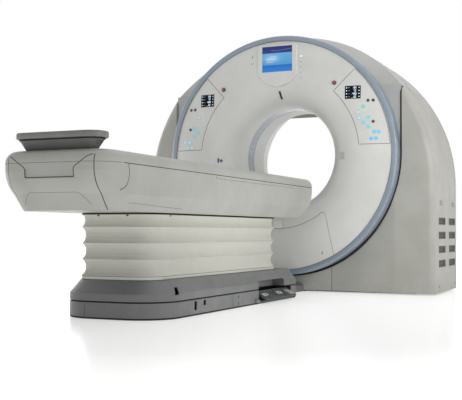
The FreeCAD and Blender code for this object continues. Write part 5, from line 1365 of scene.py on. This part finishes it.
@dataclass
class EmergencyStop(Assembly):
    """The red mushroom head's raised middle, painted lighter red as a highlight, and its three
    turning marks, which glow as painted light.
    """

    side: str

    def build(self) -> None:
        """Make the parts."""
        node = f"emergency_stop_{self.side}"
        head = self.bench.surfaces.front(node, SIDES[self.side] * 0.450, 1.562)
        marks = [head.turned(angle).moved(0, 0.0082) for angle in (0, 120, 240)]
        # The raised middle is painted lighter red: a painted highlight.
        self.bench.plates(f"stop_middle_{self.side}", Look.STOP_HIGHLIGHT, [head], Round(0.0058),
                          ((0, -0.3), (0.5, 0.5), (2.5, 0.8)), node, "red")
        # The printed turning marks take the lit figures' finish, so they glow: painted light.
        self.bench.plates(f"stop_marks_{self.side}", Look.FIGURE, marks,
                          RoundedBox(0.0030, 0.0012, 0.0004), ((0, -0.3), (0, 0.25)), node, "red")


@dataclass
class LaserPorts(Assembly):
    """The alignment lasers' ports: a slot and a round lens on the left, a square pane right."""

    def build(self) -> None:
        """Make the parts on the three panes."""
        left, right, top = (self.bench.surfaces.front("laser_windows", x, z)
                            for x, z in ((-0.497, 1.012), (0.497, 1.022), (0.0, 1.5025)))
        for name, look, spot, outline, profile, slot in (
                ("laser_slot", Look.GASKET, left.moved(-0.015, 0.002),
                 RoundedBox(0.013, 0.036, 0.004), ((0, -0.4), (0.2, 0.4), (1.5, 0.5)),
                 "dark_plastic"),
                ("laser_lens_rim", Look.PALE_TRIM, left.moved(0.008), Round(0.0145, 36),
                 ((0, -0.4), (0.3, 1.2), (1.5, 1.8), (2.8, 1.2)), "trim"),
                ("laser_lens", Look.LENS, left.moved(0.008, 0.0, 0.0010), Round(0.0112, 32),
                 ((0, -0.4), (0.3, 0.6), (3.0, 1.3), (7.0, 1.6)), "clear"),
                ("laser_pane", Look.PANE_INNER, right, RoundedBox(0.046, 0.056, 0.006),
                 ((0, -0.4), (0.4, 0.4), (1.5, 0.5)), "clear"),
                ("laser_line", Look.BLACK_GAP, top, RoundedBox(0.0158, 0.078, 0.005),
                 ((0, -0.6), (0.3, 0.5), (1.2, 0.7)), "clear")):
            self.bench.plates(name, look, [spot], outline, profile, slot=slot)


@dataclass
class GantrySeams(Assembly):
    """The gaskets in the joints of the gantry's covers, painted shade in the slits beside the ring,
    along the entry panel's crease and on the flank pads, and the covers' screws and latches.
    """

    skin: float = 1.1602
    dome_height: float = 0.830
    rear: float = 1.9203
    seam_degrees: float = 37.74
    ring_radius: float = 0.8747
    ring_depth: float = 1.0158
    stand_depth: float = 1.1135

    def panels(self) -> list[Path]:
        """Trace the joints round both control panels.

        Returns:
            The paths.
        """
        inner, outer = arc_points(0.6403, 5.19, 46, 40), arc_points(0.866, 46, 3.84, 50)
        reach = np.linspace(0, 1, 12)[1:-1, None]
        return self.bench.dome.both(np.concatenate([
            inner, inner[-1] + (outer[0] - inner[-1]) * reach, outer,
            outer[-1] + (inner[0] - outer[-1]) * reach]))

    def arch(self, y: float, start: float, count: int) -> Path:
        """Trace the dome's outline at one depth.

        Args:
            y: The depth.
            start: The first angle in degrees; the last one mirrors it.
            count: How many points it gets.

        Returns:
            The path.
        """
        angle = np.radians(np.linspace(start, 180 - start, count))
        out = rows(np.cos(angle), 0, np.sin(angle))
        return np.array([0, y, self.dome_height]) + self.skin * out, out

    def rim(self) -> Path:
        """Trace the rear cover's joint: up one side, over the dome and down the other side.

        Returns:
            The path.
        """
        legs = np.linspace(0.03, self.dome_height, 20)[:-1]
        parts = (facing(rows(self.skin, self.rear, legs), (1, 0, 0)), self.arch(self.rear, 0, 120),
                 facing(rows(-self.skin, self.rear, legs[::-1]), (-1, 0, 0)))
        path, out = (np.concatenate(pieces) for pieces in zip(*parts))
        return path, out

    def ring_gap(self) -> Array:
        """Trace the right half of the gap between the ring's covers and the stand.

        Returns:
            Rows of x, y and z.
        """
        slit = smooth_path([(1.153, 1.534), (1.140, 1.520), (1.131, 1.510), (1.1225, 1.500),
                            (1.1175, 1.490), (1.1135, 1.470), (1.1135, 1.350), (1.1135, 1.060)], 40)
        curve = arc_points(0.9215, 0, -64.6, 70)
        return np.concatenate([rows(0.9218, slit[:, 0], slit[:, 1]),
                               rows(curve[:, 0], self.stand_depth, curve[:, 1])])

    def build(self) -> None:
        """Make the gaskets and the painted shade lines, then the latches, the pads painted darker
        as shaded recesses, and the screws.
        """
        bench, dome, surfaces = self.bench, self.bench.dome, self.bench.surfaces
        bench.strips("panel_gaskets", Look.GASKET, self.panels(), 3.4, closed=True)
        arc = arc_points(0.56, -128.2, -51.8, 70)
        ends = np.array([(0.362, arc[-1, 1] + 0.001), (0.374, arc[-1, 1] - 0.003)])
        arc = np.concatenate([ends[::-1] * (-1, 1), arc, ends])
        bench.strips("entry_gasket", Look.GASKET, [through([dome.spot(x, z) for x, z in arc])], 3.4)
        ring = arc_points(self.ring_radius, 0, 360, 181)[:-1]
        ring = facing(rows(ring[:, 0], self.ring_depth, ring[:, 1]))
        bench.strips("ring_gasket", Look.GASKET, [ring], 4.0, closed=True)
        # Strips in the slits beside the ring: painted shade, black on the right and paler on the
        # left, as the light falls.
        for (side, sign), look in zip(SIDES.items(), (Look.BLACK_GAP, Look.SOFT_LINE)):
            bench.strips(f"ring_gap_{side}", look, [facing(self.ring_gap() * (sign, 1, 1))], 14.4)
        # A darker line along the entry panel's crease: painted shade.
        crease = smooth_path([(0.372, 0.592), (0.388, 0.555), (0.405, 0.46), (0.424, 0.36),
                              (0.437, 0.285)], 30)
        bench.strips("entry_crease", Look.SOFT_LINE, dome.both(crease), 3.0)
        bench.strips("top_gasket", Look.GASKET, [self.arch(1.460, self.seam_degrees, 90)], 4.5)
        bench.strips("rear_gasket", Look.GASKET, [self.rim()], 3.0)
        bench.strips("side_gaskets", Look.SOFT_LINE, [
            through([surfaces.flank("top_rear_shell top_front_shell", sign, y, 1.5405)
                     for y in np.linspace(1.135, 1.9, 40)]) for sign in SIGNS])
        lower = np.linspace(0.012, 0.19, 12)
        bench.strips("lower_gaskets", Look.GASKET,
                     [facing(rows(sign * 0.3905, 1.1096, lower)) for sign in SIGNS])
        pads, latches = ([surfaces.flank(f"{side}_stand_cover", sign, y, z)
                          for side, sign in SIDES.items() for y, z in places]
                         for places in (((1.356, 0.674), (1.822, 0.674)),
                                        ((1.290, 0.055), (1.880, 0.055))))
        places = [(x, z) for x in (-1.02, 1.02) for z in (0.10, 0.42, 0.78, 1.10)]
        screws = [surfaces.drop("rear_cover", (x, 3.0, z), (0, -1, 0), (-1, 0, 0))
                  for x, z in places + [(-0.45, 1.78), (0.45, 1.78)]]
        for name, look, spots, outline, profile, slot in (
                ("entry_latches", Look.SOFT_LINE, [dome.spot(sign * 0.35, 0.30) for sign in SIGNS],
                 RoundedBox(0.008, 0.022, 0.003), ((0, -0.4), (0.3, 0.3), (1.5, 0.4)),
                 "dark_plastic"),
                # The flank pads are raised plates painted darker as the shade of recesses.
                ("flank_pads", Look.RECESS_SHADE, pads, RoundedBox(0.099, 0.036, 0.006),
                 ((0, -0.4), (0.3, 0.5), (2, 0.8)), "stand"),
                ("flank_latches", Look.GASKET, latches, RoundedBox(0.026, 0.014, 0.005),
                 ((0, -0.4), (0.3, 0.4), (2, 0.6)), "dark_plastic"),
                ("rear_screws", Look.STEEL, screws, Round(0.011),
                 ((0, -0.4), (0, 0.8), (0.8, 1.6), (4.5, 1.7), (5.0, 0.9)), "steel")):
            bench.plates(name, look, spots, outline, profile, slot=slot)


@dataclass
class CouchSeams(Assembly):
    """The dark joints of the couch's covers, its grips, the tray's rim and the bellows' clips, with
    painted shadow under the couch and painted shade under the grips and the tray's rim.
    """

    skins: str = "couch_upper_cover foot_end_cap couch_lower_shell"
    corner: float = 0.2405
    seam: float = 0.7775
    tray_middle: tuple[float, float] = (0.0, -1.8725)

    def across(self, flat: Array) -> Path:
        """Lay a path on the foot end.

        Args:
            flat: Rows of x and z.

        Returns:
            The path and its outward directions.
        """
        return through([self.bench.surfaces.front(self.skins, x, z) for x, z in flat])

    def beside(self, flat: Array, sign: float) -> Path:
        """Lay a path on a long side.

        Args:
            flat: Rows of distance from the foot end, and height.
            sign: 1 for the right side and -1 for the left.

        Returns:
            The path and its outward directions.
        """
        return through([self.bench.surfaces.flank(self.skins, sign, FOOT + reach, z)
                        for reach, z in flat])

    def covers(self) -> None:
        """Make the covers' gaskets, fine joints and grips."""
        cap = rows(self.corner, np.linspace(0.812, 0.556, 60))
        hip = smooth_path([(0.232, 0.812), (0.205, 0.799), (0.170, 0.775), (0.139, 0.752),
                           (0.137, 0.722), (0.135, 0.7065)], 40)
        seam = rows(np.linspace(0.15, 2.84, 200), self.seam)
        panel = smooth_path([(0.190, 0.774), (0.199, 0.745), (0.197, 0.715), (0.180, 0.680),
                             (0.160, 0.662), (0.137, 0.648)], 50)
        keel = smooth_path([(0.239, 0.582), (0.248, 0.590), (0.300, 0.5895), (0.419, 0.5868),
                            (0.642, 0.5795), (0.820, 0.5755)], 60)
        grip = rows(np.linspace(1.175, 2.450, 60), 0.7655)
        foot = smooth_path([(0.0, 0.6375), (0.10, 0.6375), (0.137, 0.636), (0.158, 0.618),
                            (0.176, 0.597), (0.188, 0.580)], 50)
        turn = np.radians(np.linspace(0, 86, 24))
        front = rows(self.corner + 0.0795 * np.sin(turn), self.seam)
        strong, soft, grips, under = [], [], [], []
        for sign in SIGNS:
            strong += [self.across(flat * (sign, 1)) for flat in (cap, hip)]
            strong += [self.beside(flat, sign) for flat in (seam, panel)]
            soft.append(self.beside(keel, sign))
            soft += [self.across(flat * (sign, 1)) for flat in (foot, front)]
            grips.append(self.beside(grip, sign))
            under.append(self.beside(grip - (0, 0.0070), sign))
        soft.append(self.across(rows(np.linspace(-0.239, 0.239, 60), self.seam)))
        strong.append(self.across(rows(np.linspace(-0.135, 0.135, 24), 0.7075)))
        strips = self.bench.strips
        strips("couch_gaskets", Look.GASKET, strong, 4.2, "couch")
        strips("couch_fine_joints", Look.SOFT_LINE, soft, 3.0, "couch")
        strips("couch_grips", Look.COUCH, grips, 13, "couch", "cover", 3.0)
        strips("couch_grip_shades", Look.SOFT_LINE, under, 2.4, "couch")

    def build(self) -> None:
        """Make the covers' joints, the painted shadow under the couch, the tray's rolled rim,
        painted lighter as a highlight, with painted shade under it, and the clips.
        """
        self.covers()
        bench, front, flank = self.bench, self.bench.surfaces.front, self.bench.surfaces.flank
        # A near-black band where the couch meets the bellows: painted shadow.
        rim = RoundedBox(0.4810, 1.8110, 0.1255, 14).points() + (0, -0.505)
        bench.strips("couch_gap_shadow", Look.BLACK_GAP, [upright(rim, 0.5480, True)], 9.5, "couch",
                     closed=True)
        # The rolled rim takes the lighter copy of the tray's moulding: painted highlight.
        lip = RoundedBox(0.480, 0.145, 0.066, 14).points() + self.tray_middle
        roll = Shape().bar(*upright(lip, 0.9110, True), 0.0300, 0.0055, 0.0095, True)
        roll.build("tray_roll", bench.palette[Look.TRAY_RIM_LIT], "table_top", "tray")
        wall = RoundedBox(0.4600, 0.1250, 0.0560, 14).points() + self.tray_middle
        bench.strips("tray_shade", Look.BLACK_GAP, [upright(wall, 0.8925, True)], 8, "table_top",
                     closed=True)
        clips = [flank("bellows", sign, -1.19, 0.539) for sign in SIGNS]
        clips += [front("bellows", sign * 0.088, 0.539) for sign in SIGNS]
        bench.plates("bellows_clips", Look.GASKET, clips, RoundedBox(0.014, 0.010, 0.003),
                     ((0, -1.2), (0, 0.6), (1, 1.2)), "couch")


@dataclass
class BaseTrim(Assembly):
    """Details of the couch's foot, the backs behind its slots, dark as painted shade, and the backs
    behind the vents.
    """

    corners: tuple[float, ...] = (0.07, 0.07, 0.22, 0.22)
    bay: tuple[float, float] = (-0.168, 0.418)
    joints: tuple[float, float] = (-0.565, -0.416)

    def loops(self, inset: float) -> tuple[Array, Array]:
        """Go round the base beside its foot bays.

        Args:
            inset: How far the outline is drawn in.

        Returns:
            The path round the head between the bays, and the one round the foot.
        """
        low, high = np.array(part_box("base_cover"))[:, :2]
        radius = np.array(self.corners)[:, None, None]
        angle = (np.linspace(0, 1, 16) + np.arange(4)[:, None]) * math.pi / 2
        corner = np.array([(1, 1), (-1, 1), (-1, -1), (1, -1)])[:, None] * (
            (high - low) / 2 - radius)
        flat = corner + (radius - inset) * rows(np.cos(angle), np.sin(angle)) + (high + low) / 2
        wide = high[0] - inset
        head = np.concatenate([[(wide, self.bay[1])], flat[0], flat[1], [(-wide, self.bay[1])]])
        foot = np.concatenate([[(-wide, self.bay[0])], flat[2], flat[3], [(wide, self.bay[0])]])
        return head, foot

    def foot(self) -> None:
        """Make the base's joints, the painted shade in its seam, the painted shadow along the
        floor, its latches, the slots' backs, dark as painted shade, and the vents' filter mats.
        """
        bench, surfaces = self.bench, self.bench.surfaces
        heights = np.linspace(0.014, 0.082, 10)
        joints = [through([surfaces.flank("base_skirt", sign, y, z) for z in heights])
                  for sign in SIGNS for y in self.joints]
        joints.append(through([surfaces.front("base_skirt", -0.128, z) for z in heights]))
        bench.strips("skirt_joints", Look.GASKET, joints, 3.0)
        # Near-black strips: painted shade in the seam's recess, and painted shadow where the skirt
        # meets the floor.
        for name, level, inset, width, high in (("base_seam", 0.0898, 0.0118, 7.4, 6),
                                                ("floor_contact_shadow", 0.0052, 0.0053, 9.0, 3.5)):
            bench.strips(name, Look.BLACK_GAP, [upright(loop, level) for loop in self.loops(inset)],
                         width, high_mm=high)
        marks = [surfaces.flank("base_skirt", sign, -0.484, z) for sign in SIGNS
                 for z in (0.065, 0.024)]
        bench.plates("skirt_latches", Look.GASKET, marks, RoundedBox(0.012, 0.016, 0.003),
                     ((0, -0.4), (0.3, 0.4), (2, 0.6)))
        bead = RoundedBox(0.4806, 1.8106, 0.1253, 14).points() + (0, -0.505)
        bench.strips("bellows_foot_bead", Look.GASKET, [upright(bead, 0.2012, True)], 3.6,
                     high_mm=1.2, closed=True)
        for name, places, size in (
                # The slots' backs are dark: painted shade inside the slots.
                ("base_slot_shade_backs", ((0.2700, -1.205, 0.140),), (0.210, 0.062)),
                ("vent_filter_mats", ((1.1460, 1.398, 0.3795), (1.1460, 1.780, 0.3795)),
                 (0.258, 0.380))):
            spots = [Spot.flat_on((sign * x, y, z), np.array([sign, 0, 0]), (0, sign, 0))
                     for sign in SIGNS for x, y, z in places]
            bench.plates(name, Look.GASKET, spots, RoundedBox(*size, 0.004), ((0, 0), (0, 3.0)))

    def pedal(self, name: str, side: str, pad: float) -> None:
        """Make a pedal's pad with its mark, and the ribs beside them.

        Args:
            name: Which pedal it is, raise or lower.
            side: Its side.
            pad: Where its pad's middle lies along Y.
        """
        bench, node = self.bench, f"{name}_pedal_{side}"
        low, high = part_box(node)
        top = bench.surfaces.drop(node, (SIDES[side] * 0.324, pad, 0.4), (0, 0, -1), (0, 1, 0))
        middle = (low[1] + high[1]) / 2 - top.origin[1]
        ribs = [top.moved(middle + offset) for offset in np.linspace(-0.123, 0.123, 25)
                if abs(middle + offset) > 0.05]
        for part, look, spots, size, profile in (
                ("pad", Look.PEDAL_PAD, [top], (0.088, 0.029, 0.006),
                 ((0, -0.6), (0.3, 0.8), (2, 1.4))),
                ("pad_mark", Look.PEDAL, [top.moved(0.006, 0, 0.0014)], (0.030, 0.010, 0.004),
                 ((0, -0.3), (0.3, 0.3))),
                ("ribs", Look.PEDAL, ribs, (0.004, 0.050, 0.0015),
                 ((0, -0.6), (0.4, 0.8), (1, 1.0)))):
            bench.plates(f"{name}_{part}_{side}", look, spots, RoundedBox(*size), profile, node,
                         "pedal")

    def build(self) -> None:
        """Make the foot, the pedals' parts, the tread plates and the guard lugs."""
        self.foot()
        bench = self.bench
        for side, sign in SIDES.items():
            for name, pad in (("raise", 0.180), ("lower", -0.062)):
                self.pedal(name, side, pad)
            node = f"raise_pedal_{side}"
            end = bench.surfaces.drop(node, (sign * 0.330, 0.345, 0.4), (0, 0, -1), (0, 1, 0))
            bench.plates(f"raise_tread_{side}", Look.TREAD, [end], RoundedBox(0.094, 0.062, 0.006),
                         ((0, -0.6), (0.3, 1.6), (1.5, 2.2)), node, "pedal")
            lug = bench.surfaces.flank("base_skirt", sign, -0.196, 0.022)
            bench.plates(f"guard_lug_{side}", Look.STEEL, [lug], RoundedBox(0.052, 0.018, 0.004),
                         ((0, -0.6), (0.2, 12), (1.5, 14)), slot="steel")


@dataclass
class RotorHardware(Assembly):
    """Screws of the turning parts, which only show with the covers off."""

    circles: tuple[tuple[str, str, float, int], ...] = (
        ("drum_screws", "rotor_drum", 0.80, 36), ("slip_screws", "slip_ring", 0.524, 24))

    def build(self) -> None:
        """Make the circles of screws."""
        for name, node, radius, count in self.circles:
            low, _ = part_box(node)
            spots = [self.bench.surfaces.drop(node, (x, low[1] - 0.5, z), (0, 1, 0))
                     for x, z in arc_points(radius, 0, 360, count + 1)[:-1]]
            self.bench.plates(name, Look.STEEL, spots, RoundedBox(0.016, 0.016, 0.004),
                              ((0, -0.4), (0, 5), (1, 6)), "rotor", "steel")


# ---------------------------------------------------------------- camera, floor and light

@dataclass(frozen=True)
class Photographer:
    """The camera of the photograph, as it was found from the object's own corners."""

    position: tuple[float, float, float] = (2.5496, -5.6069, 0.4539)
    yaw: float = 0.4188
    pitch: float = -0.0342
    roll: float = 0.0025
    lens_mm: float = 72.57
    film_mm: float = 36.0

    def set_up(self) -> None:
        """Make the camera and use it."""
        yaw, pitch = self.yaw, self.pitch
        ahead = Vector((-math.sin(yaw) * math.cos(pitch), math.cos(yaw) * math.cos(pitch),
                        -math.sin(pitch)))
        right = Vector((math.cos(yaw), math.sin(yaw), 0))
        up = right.cross(ahead)
        cos, sin = math.cos(self.roll), math.sin(self.roll)
        across, along = right * cos + up * sin, up * cos - right * sin
        data = bpy.data.cameras.new("camera")
        data.lens, data.sensor_width = self.lens_mm, self.film_mm
        data.clip_start, data.clip_end = 0.05, 120
        camera = bpy.data.objects.new("camera", data)
        camera.matrix_world = Matrix((across, along, -ahead)).transposed().to_4x4()
        camera.location = self.position
        bpy.context.scene.collection.objects.link(camera)
        bpy.context.scene.camera = camera


@dataclass(frozen=True)
class SoftBox:
    """One large, soft lamp of the studio."""

    name: str
    place: tuple[float, float, float]
    aim: tuple[float, float, float]
    size: tuple[float, float]
    watts: float
    spread: float = 180.0

    def hang(self) -> bpy.types.Object:
        """Make the lamp.

        Returns:
            The lamp.
        """
        data = bpy.data.lights.new(self.name, "AREA")
        data.shape = "RECTANGLE"
        data.size, data.size_y = self.size
        data.energy = self.watts
        data.spread = math.radians(self.spread)
        lamp = bpy.data.objects.new(self.name, data)
        lamp.location = self.place
        lamp.rotation_mode = "QUATERNION"
        aim = Vector(self.aim) - Vector(self.place)
        lamp.rotation_quaternion = aim.to_track_quat("-Z", "Y")
        bpy.context.scene.collection.objects.link(lamp)
        return lamp


@dataclass(frozen=True)
class Studio:
    """A pale floor and plain soft light in front of a white background."""

    lamps: tuple[SoftBox, ...] = (
        SoftBox("overhead", (0.9, 0.2, 5.4), (0.3, 0.4, 0.0), (7.0, 6.0), 122),
        SoftBox("right_side", (6.2, -0.9, 2.2), (0.6, 0.9, 0.7), (5.0, 4.0), 66),
        SoftBox("left_back", (-5.0, 3.4, 1.8), (-0.6, 1.4, 0.9), (4.0, 3.0), 60),
        SoftBox("left", (-5.5, 1.0, 1.4), (-1.0, 1.25, 1.1), (1.5, 1.5), 3.5, 40),
        SoftBox("front", (2.2, -8.5, 4.6), (0.5, 1.2, 1.5), (5.0, 2.5), 6),
        SoftBox("disc", (3.6, -2.6, 1.6), (0.80, 1.0, 1.0), (1.0, 1.0), 2.0, 30),
        SoftBox("right_low", (5.0, -0.2, 1.0), (0.3, -0.45, 0.3), (1.0, 1.0), 1.1, 22),
    )
    ambient: float = 0.17
    clear_from: float = 2.6
    clear_to: float = 5.0
    bounce: float = 0.47
    reach: float = 40.0

    def floor(self) -> None:
        """Lay the floor: a large, pale, slightly shiny sheet."""
        mesh = bpy.data.meshes.new("floor")
        corners = [(x * self.reach, y * self.reach, 0)
                   for x, y in ((-1, -1), (1, -1), (1, 1), (-1, 1))]
        mesh.from_pydata(corners, [], [(0, 1, 2, 3)])
        mix = Recipe("studio_floor")
        away = mix.add("VectorMath", {0: mix.place}, operation="LENGTH").outputs["Value"]
        mesh.materials.append(mix.finish(
            Base_Color=mix.layers("#fafafa", (mix.noise(900, 1), "#f8f8f7")),
            Roughness=mix.patches(900, 1, 0.3, 0.7, 0.20, 0.22), IOR=1.33,
            Emission_Color="#ffffff",
            Emission_Strength=mix.span(away, self.clear_from, self.clear_to, self.bounce, 1.0)))
        floor = bpy.data.objects.new("floor", mesh)
        bpy.context.scene.collection.objects.link(floor)
        floor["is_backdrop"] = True

    def sky(self) -> None:
        """Light evenly from all sides, and show white behind the object."""
        world = bpy.data.worlds.new("studio")
        world.use_nodes = True
        world.node_tree.nodes.clear()
        add = partial(add_node, world.node_tree)
        path = add("LightPath").outputs
        seen = add("Math", {0: path["Is Camera Ray"], 1: path["Is Glossy Ray"]}, operation="ADD")
        seen = add("Math", {0: seen.outputs[0], 1: path["Is Transmission Ray"]}, operation="ADD",
                   use_clamp=True)
        level = add("MapRange", {"Value": seen.outputs[0], "To Min": self.ambient, "To Max": 1.0})
        sky = add("Background", {"Color": linear("#ffffff"), "Strength": level.outputs["Result"]})
        add("OutputWorld", {"Surface": sky.outputs["Background"]})
        bpy.context.scene.world = world

    def set_up(self) -> None:
        """Light the studio and lay its floor."""
        self.floor()
        self.sky()
        for lamp in self.lamps:
            lamp.hang()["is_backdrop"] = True
        bpy.context.scene.view_settings.view_transform = "Standard"


# ---------------------------------------------------------------- the whole

@dataclass
class Scanner:
    """The whole scanner: the fixed frame in its finishes, and the parts that only looks need."""

    nodes: Mapping[str, bpy.types.Object]

    def dress(self, palette: Palette, crisp: float = 32.0) -> None:
        """Give every node of the fixed frame its finish.

        Args:
            palette: The finishes.
            crisp: Edges bent by more than these degrees stay crisp.
        """
        worn = {name: look for look, names in WARDROBE.items() for name in names.split()}
        for name in sorted(set(self.nodes) - set(worn)):
            LOG.warning("no finish is named for %s", name)
        for name, look in worn.items():
            for place in self.nodes[name].material_slots:
                place.material = palette[look]
            self.nodes[name].data.set_sharp_from_angle(angle=math.radians(crisp))

    def build(self) -> None:
        """Dress the frame and make every sub-assembly."""
        bench = Workbench(Surfaces(self.nodes))
        self.dress(bench.palette)
        Bellows(bench).build()
        StatusScreen(bench).build()
        for side in SIDES:
            ControlPanel(bench, side).build()
            EmergencyStop(bench, side).build()
        for kind in (LaserPorts, GantrySeams, CouchSeams, BaseTrim, RotorHardware):
            kind(bench).build()


def note_bounds(name: str) -> dict[str, list[float]]:
    """Measure the shown object.

    Args:
        name: What the measure is called.

    Returns:
        Its lowest and highest corner, as plain lists.
    """
    low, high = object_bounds()
    LOG.info("%s bounds %s %s", name, tuple(low), tuple(high))
    return {"low": list(low), "high": list(high)}


def main() -> None:
    """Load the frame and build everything."""
    logging.basicConfig(level=logging.INFO, format="%(message)s")
    bpy.ops.wm.read_factory_settings(use_empty=True)
    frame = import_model()
    size = {"frame": note_bounds("frame")}
    Scanner(frame["nodes"]).build()
    Studio().set_up()
    Photographer().set_up()
    size["finished"] = note_bounds("finished")


if __name__ == "__main__":
    main()
